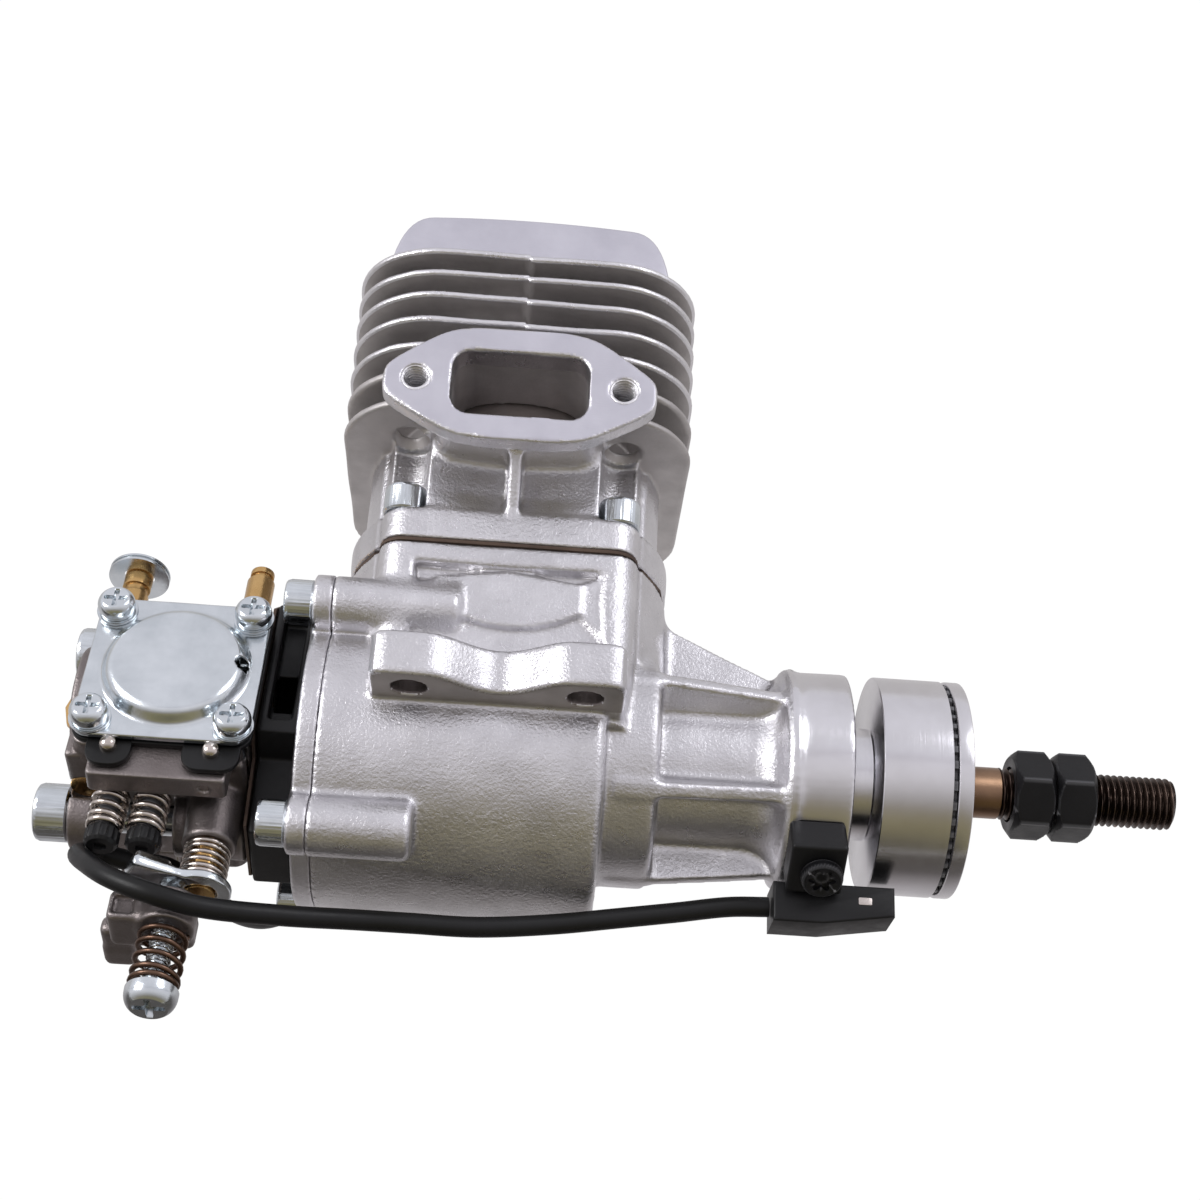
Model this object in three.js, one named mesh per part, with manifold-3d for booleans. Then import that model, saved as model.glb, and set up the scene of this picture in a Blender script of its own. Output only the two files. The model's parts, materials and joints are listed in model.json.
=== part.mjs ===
// Single-cylinder two-stroke model aircraft engine, 20 cc class, millimetres.
// Frame: origin where the crank axis meets the cylinder axis, level with the
// underside of the mounting lugs. +X runs along the crankshaft to the propeller,
// +Y up the cylinder to the head, +Z out of the exhaust port. Piston at top dead centre.
import * as THREE from 'three';
import { mergeVertices } from 'three/addons/utils/BufferGeometryUtils.js';
import Module from 'manifold-3d';

const wasm = await Module();
wasm.setup();

// ---- driving dimensions -------------------------------------------------
const gap = 0.3;                    // clearance between pieces that touch
const fineness = 0.42;              // scales the number of flats round every turned surface
const bore = 32;
const stroke = 25;
const throwRadius = stroke / 2;
const rodLength = 44;               // crank pin to wrist pin
const pinToCrown = 12;              // wrist pin to piston crown
const pistonLength = 26;

const deckHeight = 26.4;            // top face of the crankcase
const gasketThickness = 0.5;
const baseBottom = deckHeight + gasketThickness + 2 * gap;
const baseTop = 32.6;
const baseHalfX = 19.6;
const baseHalfZ = 20;
const baseLobe = 25;                // radius of the side bulges of the base
const baseBoltX = 16.4;
const baseBoltZ = 16.6;

const finCount = 7;
const finHalf = 27.3;
const finCorner = 14;
const finThickness = 1.5;
const lowestFin = 46.9;
const firstFinPitch = 5.3;
const finPitchDrop = 0.115;
const finCentre = (i) => lowestFin + firstFinPitch * i - finPitchDrop * i * i;
const headTop = 87.8;

const exhaustFace = 31;
const exhaustY = 48.5;
const exhaustBoltX = 15.7;
const portHalfX = 10.3;
const portHalfY = 5.5;

const barrelRadius = 22;
const barrelDrop = 2.2;             // the barrel's centre lies below the crank axis
const barrelBack = -25.3;
const barrelFront = 16;
const stepRadius = 18;
const stepFront = 24;
const noseRadius = 12;
const ringBack = 43;
const ringFront = 52.8;
const ringRadius = 16.6;
const lugHalfX = 18.2;
const beamFlat = 21.6;              // half width of the barrel between the beams
const lugInner = 18;
const lugOuter = 31;
const lugTop = 6.8;
const lugHoleX = 12.5;
const lugHoleZ = 26;
const lugHoleRadius = 2.6;
const lugDip = 5;                   // depth of the wavy front between the lug's bolt bosses

const coverBack = -28.2;
const coverBolts = [[16.4, 17.2], [16.4, -17.2], [-18.2, 17.2], [-18.2, -17.2]];
const coverBossRadius = 4.3;
const coverBossFront = -10.7;
const screwEnd = -19.2;             // tips of the rear cover screws

const hubBack = 56.9;
const hubFace = 67.7;
const washerBack = 68;
const washerFront = 70.3;
const hubRadius = 16.6;
const hubCollar = 8.6;
const shaftTip = 104.5;
const threadRadius = 4;
const nutAcrossFlats = 12;

const carbTilt = THREE.MathUtils.degToRad(16.34);
const throatV = 1;                  // carburettor throat centre, in its own tilted frame
const throatW = 4.5;
const carbFront = -61.3;            // air side
const carbBack = -35.6;             // engine side
const carbBoltV = 15.3;             // bolts each side of the throat
const carbBoltW = -0.8;
const throttleX = -39.8;
const chokeX = -59.2;
const idleX = -43.5;
const shaftRadius = 2.2;
const throatRadius = 6.5;
const coverCentreX = -47.25;
const coverCentreV = -0.8;

const cableRadius = 1.5;
const sensorY = -21.4;
const sensorZ = 3;

// ---- materials ------------------------------------------------------------
const material = (color, roughness, metalness) =>
  new THREE.MeshStandardMaterial({ color, roughness, metalness });
const castAluminium = material(0xc9c7c8, 0.5, 0.9);
const turnedAluminium = material(0xd6d4d8, 0.25, 1);
const steel = material(0xa9a9ab, 0.35, 1);
const bronzedSteel = material(0x6d5340, 0.4, 1);
const blackSteel = material(0x151516, 0.45, 0.6);
const zinc = material(0xc3d0d6, 0.25, 1);
const brass = material(0xc08a3a, 0.3, 1);
const dieCast = material(0x85797a, 0.55, 0.8);
const springNickel = material(0xb9aca0, 0.25, 1);
const springBronze = material(0x6b4534, 0.35, 1);
const blackPlastic = material(0x1b1b1d, 0.55, 0);
const gasketPaper = material(0x3a2a22, 0.9, 0);
const blackRubber = material(0x161617, 0.6, 0);

// ---- solids ---------------------------------------------------------------
function toSolid(source) {
  const plain = source.clone();
  plain.deleteAttribute('normal');
  plain.deleteAttribute('uv');
  const merged = mergeVertices(plain, 1e-4);
  const at = merged.attributes.position;
  const tri = Uint32Array.from(merged.index.array);
  const corner = (i) => new THREE.Vector3().fromBufferAttribute(at, i);
  let volume = 0;
  for (let i = 0; i < tri.length; i += 3) {
    volume += corner(tri[i]).dot(corner(tri[i + 1]).cross(corner(tri[i + 2])));
  }
  if (volume < 0) {
    for (let i = 0; i < tri.length; i += 3) {
      [tri[i], tri[i + 1]] = [tri[i + 1], tri[i]];
    }
  }
  return new wasm.Manifold(new wasm.Mesh({
    numProp: 3,
    vertProperties: Float32Array.from(at.array),
    triVerts: tri,
  }));
}

function toGeometry(solid) {
  const mesh = solid.getMesh();
  const geometry = new THREE.BufferGeometry();
  geometry.setAttribute('position', new THREE.BufferAttribute(mesh.vertProperties, 3));
  geometry.setIndex(new THREE.BufferAttribute(mesh.triVerts, 1));
  return geometry;
}

const join = (first, ...others) => others.reduce((all, one) => all.add(one), first);
const cut = (first, ...others) => others.reduce((rest, one) => rest.subtract(one), first);

function box(x0, x1, y0, y1, z0, z1) {
  const geometry = new THREE.BoxGeometry(x1 - x0, y1 - y0, z1 - z0);
  geometry.translate((x0 + x1) / 2, (y0 + y1) / 2, (z0 + z1) / 2);
  return toSolid(geometry);
}

// Six or fewer flats are a real polygon and stay; a round surface takes an even number.
const flats = (sides) => (sides <= 6 ? sides : Math.max(8, 2 * Math.round(sides * fineness / 2)));

// Turn a closed profile of [along, radius] rows about the X, Y or Z axis.
function turned(axis, rows, sides = 40, [a, b] = [0, 0]) {
  const profile = rows.map(([along, radius]) => new THREE.Vector2(radius, along));
  profile.push(profile[0].clone());
  const geometry = new THREE.LatheGeometry(profile, flats(sides));
  return toSolid(aim(geometry, axis, a, b));
}

// Lay a shape that was made about the Y axis along another axis, a and b off its centre.
function aim(geometry, axis, a = 0, b = 0) {
  if (axis === 'x') {
    geometry.rotateZ(-Math.PI / 2);
    geometry.translate(0, a, b);
  } else if (axis === 'z') {
    geometry.rotateX(Math.PI / 2);
    geometry.translate(a, b, 0);
  } else {
    geometry.translate(a, 0, b);
  }
  return geometry;
}

// A rod along an axis from one end to the other, with its centre at (a, b).
function rod(axis, from, to, radius, at = [0, 0], sides = 24) {
  return turned(axis, [[from, 0], [from, radius], [to, radius], [to, 0]], sides, at);
}

// A ring or sleeve along an axis.
function sleeve(axis, from, to, outer, inner, at = [0, 0], sides = 32) {
  return turned(axis, [[from, inner], [from, outer], [to, outer], [to, inner]], sides, at);
}

// A flat outline, thickened along an axis. The outline's first and second
// coordinates are X and Z along Y, X and Y along Z, and Y and Z along X.
function plate(axis, outline, from, to, curveSegments = 4) {
  const geometry = new THREE.ExtrudeGeometry(outline, {
    depth: to - from, bevelEnabled: false, curveSegments,
  });
  geometry.translate(0, 0, from);
  if (axis === 'y') {
    geometry.rotateX(Math.PI / 2);
    geometry.scale(1, -1, 1);
  }
  if (axis === 'x') {
    geometry.applyMatrix4(new THREE.Matrix4().set(
      0, 0, 1, 0, 1, 0, 0, 0, 0, 1, 0, 0, 0, 0, 0, 1));
  }
  return toSolid(geometry);
}

function roundedRectangle(u0, u1, v0, v1, r) {
  const shape = new THREE.Shape();
  shape.moveTo(u0 + r, v0);
  shape.lineTo(u1 - r, v0);
  shape.absarc(u1 - r, v0 + r, r, -Math.PI / 2, 0);
  shape.lineTo(u1, v1 - r);
  shape.absarc(u1 - r, v1 - r, r, 0, Math.PI / 2);
  shape.lineTo(u0 + r, v1);
  shape.absarc(u0 + r, v1 - r, r, Math.PI / 2, Math.PI);
  shape.lineTo(u0, v0 + r);
  shape.absarc(u0 + r, v0 + r, r, Math.PI, 1.5 * Math.PI);
  return shape;
}

function polygon(points) {
  return new THREE.Shape(points.map(([u, v]) => new THREE.Vector2(u, v)));
}

// A socket-head cap screw along an axis: the head lies from seat to headEnd,
// and the shank runs from the seat to tip. A six-sided socket is sunk in the head.
function capScrew(axis, headEnd, seat, tip, headRadius, shankRadius, at) {
  const way = Math.sign(seat - headEnd);
  const chamfer = 0.5 * way;
  const body = turned(axis, [
    [headEnd, 0], [headEnd, headRadius - 0.5], [headEnd + chamfer, headRadius],
    [seat, headRadius], [seat, shankRadius], [tip, shankRadius], [tip, 0],
  ], 20, at);
  const socket = rod(axis, headEnd - way, headEnd + way * headRadius * 0.6,
    headRadius * 0.5, at, 6);
  return cut(body, socket);
}

// A cross-recessed pan-head screw along an axis, with its lock washer.
function panScrew(axis, headEnd, seat, tip, headRadius, shankRadius, at) {
  const way = Math.sign(seat - headEnd);
  const body = turned(axis, [
    [headEnd, 0], [headEnd + 0.2 * way, headRadius * 0.6], [headEnd + way, headRadius],
    [seat, headRadius], [seat, shankRadius], [tip, shankRadius], [tip, 0],
  ], 20, at);
  return cut(body, rod(axis, headEnd - way, headEnd + 1.2 * way, headRadius * 0.4, at, 4));
}

// ---- the scene graph ------------------------------------------------------
const engine = new THREE.Group();
const carburettor = new THREE.Group();
carburettor.rotation.x = -carbTilt;
engine.add(carburettor);

function add(group, name, solid, look) {
  const mesh = new THREE.Mesh(toGeometry(solid), look);
  mesh.name = name;
  group.add(mesh);
  return mesh;
}

// ---- cylinder -------------------------------------------------------------
const baseOutline = () => roundedRectangle(-baseHalfX, baseHalfX, -baseHalfZ, baseHalfZ, 4);

function basePlate(from, to) {
  const lobes = rod('y', from, to, baseLobe, [0, 0], 48)
    .intersect(box(-baseLobe, baseLobe, from - 1, to + 1, -14, 14));
  return join(plate('y', baseOutline(), from, to, 3), lobes);
}

function baseBoltHoles(from, to, radius) {
  const holes = [];
  for (const x of [-baseBoltX, baseBoltX]) {
    for (const z of [-baseBoltZ, baseBoltZ]) {
      holes.push(rod('y', from, to, radius, [x, z], 14));
    }
  }
  return holes;
}

function headPlate(z) {
  const halfTop = 14.5 + (20 - Math.abs(z)) * 0.3;
  const halfBottom = halfTop + 6.5;
  const floor = finCentre(finCount - 1);
  const shape = new THREE.Shape();
  shape.moveTo(-halfBottom - 1.5, floor);
  shape.quadraticCurveTo(-halfBottom, headTop - 4, -halfTop, headTop - 0.6);
  shape.quadraticCurveTo(0, headTop + 0.6, halfTop, headTop - 0.6);
  shape.quadraticCurveTo(halfBottom, headTop - 4, halfBottom + 1.5, floor);
  return plate('z', shape, z - 0.85, z + 0.85, 3);
}

function exhaustOutline() {
  const end = 20.4;
  const shape = new THREE.Shape();
  shape.moveTo(-8, exhaustY - 9.2);
  shape.quadraticCurveTo(0, exhaustY - 9.9, 8, exhaustY - 9.2);
  shape.quadraticCurveTo(end, exhaustY - 5, end, exhaustY);
  shape.quadraticCurveTo(end, exhaustY + 4, 8, exhaustY + 9.2);
  shape.quadraticCurveTo(0, exhaustY + 9.9, -8, exhaustY + 9.2);
  shape.quadraticCurveTo(-end, exhaustY + 4, -end, exhaustY);
  shape.quadraticCurveTo(-end, exhaustY - 5, -8, exhaustY - 9.2);
  return shape;
}

function makeCylinder() {
  const topFin = finCentre(finCount - 1);
  let body = join(
    basePlate(baseBottom, baseTop),
    plate('y', roundedRectangle(-18.9, 18.9, -19.4, 19.4, 5), baseTop - 0.1, lowestFin, 3),
    rod('y', baseTop, topFin, 19.5, [0, 0], 40),
    rod('y', baseTop, lowestFin, 23, [0, 0], 40)
      .intersect(box(-23, 23, baseTop, lowestFin, -10, 10)),
    sleeve('y', 21, baseBottom + 1, bore / 2 + 1.6, bore / 2, [0, 0], 40),
    turned('y', [[topFin - 1, 0], [topFin - 1, 21], [topFin + 2, 19], [topFin + 4.5, 12],
      [topFin + 7.5, 9], [topFin + 7.5, 0]], 32),
  );
  for (let i = 0; i < finCount; i += 1) {
    const outline = roundedRectangle(-finHalf, finHalf, -finHalf, finHalf, finCorner);
    const y = finCentre(i);
    body = body.add(plate('y', outline, y - finThickness / 2, y + finThickness / 2, 3));
  }
  for (const z of [-18, -11, -4, 4, 11, 18]) {
    body = body.add(headPlate(z));
  }
  body = join(body,
    box(-13.5, 13.5, exhaustY - 8.6, exhaustY + 8.2, 15, exhaustFace - 3),
    plate('z', exhaustOutline(), exhaustFace - 4.2, exhaustFace, 3),
    box(-0.9, 0.9, baseTop, exhaustY - 8, 17, 22.5));
  const chamber = turned('y', [[15, 0], [15, bore / 2], [70, bore / 2], [72.4, 13.5],
    [75.6, 8], [76.8, 5], [headTop + 3, 5], [headTop + 3, 0]], 40);
  const plugPocket = rod('y', topFin + 7.5, headTop + 3, 10.4, [0, 0], 28);
  const port = plate('z', roundedRectangle(-portHalfX, portHalfX,
    exhaustY - portHalfY, exhaustY + portHalfY, 2.6), 10, exhaustFace + 1, 3);
  const threads = [-exhaustBoltX, exhaustBoltX].map((x) =>
    rod('z', exhaustFace - 10, exhaustFace + 1, 1.9, [x, exhaustY], 14));
  return cut(body, chamber, plugPocket, port, ...threads,
    ...baseBoltHoles(baseTop, lowestFin - 3, 4.1),
    ...baseBoltHoles(baseBottom - 1, baseTop + 1, 2.4));
}
add(engine, 'cylinder', makeCylinder(), castAluminium);

const gasketBottom = deckHeight + gap;
add(engine, 'cylinder_gasket', cut(
  basePlate(gasketBottom, gasketBottom + gasketThickness),
  rod('y', deckHeight, baseBottom, 18, [0, 0], 40),
  ...baseBoltHoles(deckHeight, baseBottom, 2.4)), gasketPaper);

let boltNumber = 0;
for (const x of [-baseBoltX, baseBoltX]) {
  for (const z of [-baseBoltZ, baseBoltZ]) {
    boltNumber += 1;
    add(engine, `cylinder_bolt_${boltNumber}`,
      capScrew('y', 36.9, baseTop + gap, 17, 3.5, 2, [x, z]), zinc);
  }
}

// ---- crankcase ------------------------------------------------------------
function lug() {
  const shape = new THREE.Shape();
  const steps = 10;
  shape.moveTo(-lugHalfX, lugInner);
  shape.lineTo(-lugHalfX, lugOuter - 1.5);
  shape.lineTo(-lugHalfX + 1.5, lugOuter);
  for (let i = 0; i <= steps; i += 1) {
    const x = -lugHoleX + 2 + (2 * lugHoleX - 4) * i / steps;
    const wave = (1 + Math.cos(Math.PI * x / (lugHoleX - 2))) / 2;
    shape.lineTo(x, lugOuter - lugDip * wave);
  }
  shape.lineTo(lugHalfX - 1.5, lugOuter);
  shape.lineTo(lugHalfX, lugOuter - 1.5);
  shape.lineTo(lugHalfX, lugInner);
  return cut(plate('y', shape, 0, lugTop),
    rod('y', -1, lugTop + 1, lugHoleRadius, [-lugHoleX, lugHoleZ], 16),
    rod('y', -1, lugTop + 1, lugHoleRadius, [lugHoleX, lugHoleZ], 16));
}

// A gusset between the crankcase step and the bearing ring, turned about the crank axis.
function gusset(angle, rearHeight) {
  const geometry = new THREE.ExtrudeGeometry(polygon([
    [stepFront - 6, noseRadius - 3], [ringBack + 1, noseRadius - 3],
    [ringBack + 1, ringRadius - 0.6], [ringBack - 1, ringRadius - 0.6],
    [stepFront, rearHeight], [stepFront - 6, rearHeight],
  ]), { depth: 2.2, bevelEnabled: false });
  geometry.translate(0, 0, -1.1);
  geometry.rotateX(angle);
  return toSolid(geometry);
}

function makeCrankcase() {
  const column = plate('y', baseOutline(), 0, deckHeight, 3);
  const lobes = rod('y', 6, deckHeight, baseLobe, [0, 0], 48)
    .intersect(box(-baseLobe, baseLobe, 6, deckHeight, -14, 14));
  const otherSide = new THREE.Matrix4().makeScale(1, 1, -1);
  const farLug = toSolid(toGeometry(lug()).applyMatrix4(otherSide));
  let body = join(
    turned('x', [[barrelBack, 0], [barrelBack, barrelRadius], [barrelFront - 2, barrelRadius],
      [barrelFront, barrelRadius - 2], [barrelFront, 0]], 48, [-barrelDrop, 0]),
    turned('x', [[10, 0], [10, stepRadius], [stepFront - 1.5, stepRadius],
      [stepFront, stepRadius - 1.5], [stepFront + 0.5, noseRadius],
      [ringBack - 1.5, noseRadius], [ringBack, ringRadius], [ringFront, ringRadius],
      [ringFront, 0]], 48),
    column, lobes, lug(), farLug);
  for (const [y, z] of coverBolts) {
    body = body.add(turned('x', [[barrelBack, 0], [barrelBack, coverBossRadius],
      [coverBossFront - 1.5, coverBossRadius], [coverBossFront, coverBossRadius - 1.5],
      [coverBossFront, 0]], 20, [y, z]));
  }
  body = body.add(gusset(0, 25));
  for (let i = 1; i < 6; i += 1) {
    body = body.add(gusset(i * Math.PI / 3, stepRadius));
  }
  const hollow = turned('x', [[barrelBack - 1, 0], [barrelBack - 1, 19], [14.6, 19],
    [14.6, 14.3], [23.4, 14.3], [23.4, 8.2], [ringBack - 1.2, 8.2], [ringBack - 1.2, 13.3],
    [ringFront + 1, 13.3], [ringFront + 1, 0]], 40);
  const screwHoles = coverBolts.map(([y, z]) =>
    rod('x', barrelBack - 1, screwEnd + gap, 2.3, [y, z], 12));
  // Flats keep the barrel clear of the beams just below the lugs.
  const beamRoom = box(-lugHalfX - 0.4, lugHalfX + 0.4, -6, 0, -34, 34)
    .subtract(box(-lugHalfX - 1, lugHalfX + 1, -7, 1, -beamFlat, beamFlat));
  return cut(body, hollow, rod('y', 0, deckHeight + 1, 18, [0, 0], 40), ...screwHoles, beamRoom,
    ...baseBoltHoles(15, deckHeight + 1, 2.4));
}
add(engine, 'crankcase', makeCrankcase(), castAluminium);

// ---- rear cover, reed valve and insulator -----------------------------------
function coverOutline(radius, bossRadius, from, to) {
  let body = rod('x', from, to, radius, [-barrelDrop, 0], 48);
  for (const [y, z] of coverBolts) {
    body = body.add(rod('x', from, to, bossRadius, [y, z], 20));
  }
  return body.add(box(from, to, 0, deckHeight - 3.2, -16.5, 16.5));
}

const intakeY = throatV * Math.cos(carbTilt) + throatW * Math.sin(carbTilt);
const intakeZ = throatW * Math.cos(carbTilt) - throatV * Math.sin(carbTilt);
const coverFront = barrelBack - gap;
add(engine, 'rear_cover', cut(coverOutline(barrelRadius, coverBossRadius, coverBack, coverFront),
  rod('x', coverBack - 1, coverFront + 1, 7.8, [intakeY, intakeZ], 28),
  ...carbBoltPlaces().map(([y, z]) => rod('x', coverBack - 1, coverFront + 1, 2.8, [y, z], 12)),
  ...coverBolts.map(([y, z]) => rod('x', coverBack - 1, coverFront + 1, 2.3, [y, z], 12)),
), castAluminium);

coverBolts.forEach(([y, z], i) => {
  add(engine, `rear_cover_bolt_${i + 1}`,
    capScrew('x', coverBack - gap - 4, coverBack - gap, screwEnd, 3.5, 2, [y, z]), zinc);
});

// Engine-frame places of the two carburettor bolts.
function carbBoltPlaces() {
  return [-carbBoltV, carbBoltV].map((side) => {
    const v = throatV + side;
    return [v * Math.cos(carbTilt) + carbBoltW * Math.sin(carbTilt),
      carbBoltW * Math.cos(carbTilt) - v * Math.sin(carbTilt)];
  });
}

// The reed seat is a flat ported plate inside the cover, and the reed lies on it.
const reedSeat = coverFront + gap;
add(engine, 'reed_seat', cut(
  box(reedSeat, reedSeat + 2.2, intakeY - 9.5, intakeY + 9.5, intakeZ - 8, intakeZ + 8),
  box(reedSeat - 1, reedSeat + 4, intakeY - 6, intakeY + 6, intakeZ - 5, intakeZ + 5),
), blackPlastic);
const reedFace = reedSeat + 2.2 + gap;
add(engine, 'reed_petal',
  box(reedFace, reedFace + 0.4, intakeY - 7.4, intakeY + 9, intakeZ - 6.4, intakeZ + 6.4), steel);

// ---- rotating assembly --------------------------------------------------------
function makeCrankshaft() {
  const web = rod('x', 5.8, 13.8, 17, [0, 0], 48);
  const shaft = turned('x', [[12, 0], [12, 6], [24, 6], [24.5, 5], [washerFront - 1, 5],
    [washerFront - 1, threadRadius], [shaftTip - 0.8, threadRadius], [shaftTip, 3.2],
    [shaftTip, 0]], 32);
  const pin = rod('x', -6, 6.5, 4, [throwRadius, 0], 24);
  const plugHole = rod('x', 5, 10.4, 1.9, [throwRadius / 2, 0], 20);
  return cut(join(web, shaft, pin), plugHole);
}
add(engine, 'crankshaft', makeCrankshaft(), bronzedSteel);
add(engine, 'crank_web_plug', rod('x', 5.8, 10, 1.6, [throwRadius / 2, 0], 20), steel);

// The rod is split above its big end, so that the shank can travel with the piston.
add(engine, 'rod_big_end', sleeve('x', -3.5, 3.5, 5.8, 4.3, [throwRadius, 0], 28), steel);
add(engine, 'connecting_rod', cut(join(
  sleeve('x', -3.5, 3.5, 5.5, 3.8, [throwRadius + rodLength, 0], 24),
  box(-1.6, 1.6, throwRadius + 7.6, throwRadius + rodLength - 4.6, -3.2, 3.2),
)), steel);

const wristY = throwRadius + rodLength;
const crownY = wristY + pinToCrown;
const skirtY = crownY - pistonLength;
add(engine, 'piston', cut(
  turned('y', [[skirtY, 0], [skirtY, 15.8], [crownY - 3.6, 15.8], [crownY - 3.6, 14.6],
    [crownY - 2.2, 14.6], [crownY - 2.2, 15.8], [crownY, 15.8], [crownY, 0]], 40),
  turned('y', [[skirtY - 1, 0], [skirtY - 1, 13.6], [crownY - 5, 13.6], [crownY - 5, 0]], 40),
  rod('x', -17, 17, 3.9, [wristY, 0], 20)), dieCast);
add(engine, 'piston_ring', sleeve('y', crownY - 3.3, crownY - 2.5, 15.7, 14.9, [0, 0], 40), steel);
add(engine, 'wrist_pin', rod('x', -14.5, 14.5, 3.5, [wristY, 0], 20), steel);

const bearing = (name, from, to, outer, inner) => {
  const third = (outer - inner) / 3;
  add(engine, `${name}_outer_race`,
    sleeve('x', from, to, outer, outer - third, [0, 0], 40), steel);
  add(engine, `${name}_inner_race`,
    sleeve('x', from, to, inner + third, inner, [0, 0], 32), steel);
};
bearing('rear_bearing', 15, 23, 14, 6.3);
bearing('front_bearing', 42.2, 49.8, 13, 5.3);

add(engine, 'drive_hub', cut(turned('x', [[ringFront + gap, 5.3], [ringFront + gap, hubCollar],
  [hubBack, hubCollar], [hubBack, hubRadius - 0.5], [hubBack + 0.5, hubRadius],
  [hubFace, hubRadius], [hubFace, 5.3]], 48),
rod('z', -hubRadius - 1, -12.6, 2.3, [59.6, 0], 16)), turnedAluminium);
add(engine, 'hub_magnet', rod('z', -16.3, -13, 2, [59.6, 0], 16), steel);
add(engine, 'prop_washer', turned('x', [[washerBack, 4.3], [washerBack, hubRadius],
  [washerFront - 0.5, hubRadius], [washerFront, hubRadius - 0.5], [washerFront, 4.3]], 48)
  .subtract(rod('x', washerBack - 1, washerFront - 0.7, 5.3, [0, 0], 32)), turnedAluminium);

function nut(from, to) {
  const sides = rod('x', from, to, nutAcrossFlats / 2 / Math.cos(Math.PI / 6), [0, 0], 6);
  const chamfer = turned('x', [[from, 0], [from, 5.9], [from + 0.9, 7.1], [to - 0.9, 7.1],
    [to, 5.9], [to, 0]], 24);
  return cut(sides.intersect(chamfer), rod('x', from - 1, to + 1, threadRadius + gap, [0, 0], 24));
}
add(engine, 'prop_nut', nut(79.2, 85.2), blackSteel);
add(engine, 'lock_nut', nut(85.6, 91.6), blackSteel);

// ---- carburettor, in its own tilted frame -----------------------------------
const earFront = [carbFront, -57.5];
const earBack = [-46, carbBack];

function carbEars(v) {
  const at = [v, carbBoltW];
  return [earFront, earBack].map(([from, to]) => rod('x', from, to, 5.3, at, 24));
}

function makeCarbBody() {
  const lowBolt = throatV - carbBoltV;
  const highBolt = throatV + carbBoltV;
  let body = join(
    box(carbFront, carbBack, -13.6, 12.6, -10.6, 12.6),
    plate('z', roundedRectangle(-60.1, carbBack, -13.6, 12.2, 2), 12, 15.5, 3),
    plate('z', roundedRectangle(-57, -37.3, -18.8, -12, 0.6), 11.4, 15.5, 2),
    rod('x', carbFront - 1, carbFront + 1, 9.6, [throatV, throatW], 32),
    ...carbEars(lowBolt), ...carbEars(highBolt),
    rod('y', -22.6, 17.5, 3.9, [throttleX, throatW], 24),
    rod('y', 12, 17.5, 3.9, [chokeX, throatW], 24)
      .intersect(box(carbFront, -50, 0, 20, -5, 15)),
    box(-53.6, -49.2, -34.6, -12, -8.8, -4.4),
    box(-53.6, -49.2, -34.6, -31.6, -8.8, 0),
    box(-51.6, -39.8, -36.6, -31.8, -0.6, 7),
    rod('y', -36.8, -31.8, 4.1, [idleX, throatW], 24),
  );
  const throat = turned('x', [[carbFront - 4, 0], [carbFront - 4, throatRadius + 1],
    [carbFront, throatRadius], [-53, throatRadius], [-50, 5.6], [-46, 5.8],
    [-43, 6.8], [carbBack + 1, 6.8], [carbBack + 1, 0]], 28, [throatV, throatW]);
  const boltHole = (v) => rod('x', carbFront - 4, carbBack + 1, 2.7, [v, carbBoltW], 14);
  const screwHoles = coverScrewPlaces().map((at) => rod('z', 5, 17, 1.7, at, 10));
  return cut(body, throat, boltHole(lowBolt), boltHole(highBolt), ...screwHoles,
    rod('y', -24, 22, shaftRadius + gap, [throttleX, throatW], 20),
    rod('y', -15, 22, shaftRadius + gap, [chokeX, throatW], 20),
    ...[-54.2, -48.4].map((x) => rod('y', -20, -9, 1.8, [x, 8], 12)),
    rod('y', -41, -31, 1.9, [idleX, throatW], 14));
}

function coverScrewPlaces() {
  const places = [];
  for (const x of [-10.1, 10.1]) {
    for (const v of [-10.2, 10.2]) {
      places.push([coverCentreX + x, coverCentreV + v]);
    }
  }
  return places;
}
add(carburettor, 'carb_body', makeCarbBody(), dieCast);

const coverPlan = (shrink = 0) => roundedRectangle(
  coverCentreX - 12.7 + shrink, coverCentreX + 12.7 - shrink,
  coverCentreV - 12.9 + shrink, coverCentreV + 12.9 - shrink, 2.6);
add(carburettor, 'metering_gasket', cut(join(
  plate('z', coverPlan(0.1), 15.8, 16.7, 3),
  plate('z', roundedRectangle(-57, -51, -17.6, -10, 2.4), 15.8, 16.7, 3),
  plate('z', roundedRectangle(-43.5, -36.9, -17.6, -10, 2.4), 15.8, 16.7, 3),
), ...coverScrewPlaces().map((at) => rod('z', 15, 18, 1.7, at, 10))), blackRubber);
add(carburettor, 'metering_cover', cut(join(
  plate('z', coverPlan(), 17, 18.1, 3),
  turned('z', [[17.5, 0], [17.5, 10.9], [18.4, 10.6], [20, 9.6], [20.5, 8.8], [20.5, 0]],
    36, [-46.9, -0.9]),
), turned('z', [[16, 0], [16, 9.6], [18, 9.6], [19.4, 8.6], [19.4, 0]], 24, [-46.9, -0.9]),
rod('z', 17.5, 22, 1, [-37.5, -0.4], 10),
...coverScrewPlaces().map((at) => rod('z', 15, 19, 1.7, at, 10))), zinc);
coverScrewPlaces().forEach((at, i) => {
  add(carburettor, `cover_screw_${i + 1}`,
    panScrew('z', 21.2, 18.1 + gap, 7, 2.6, 1.4, at), zinc);
});

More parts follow.
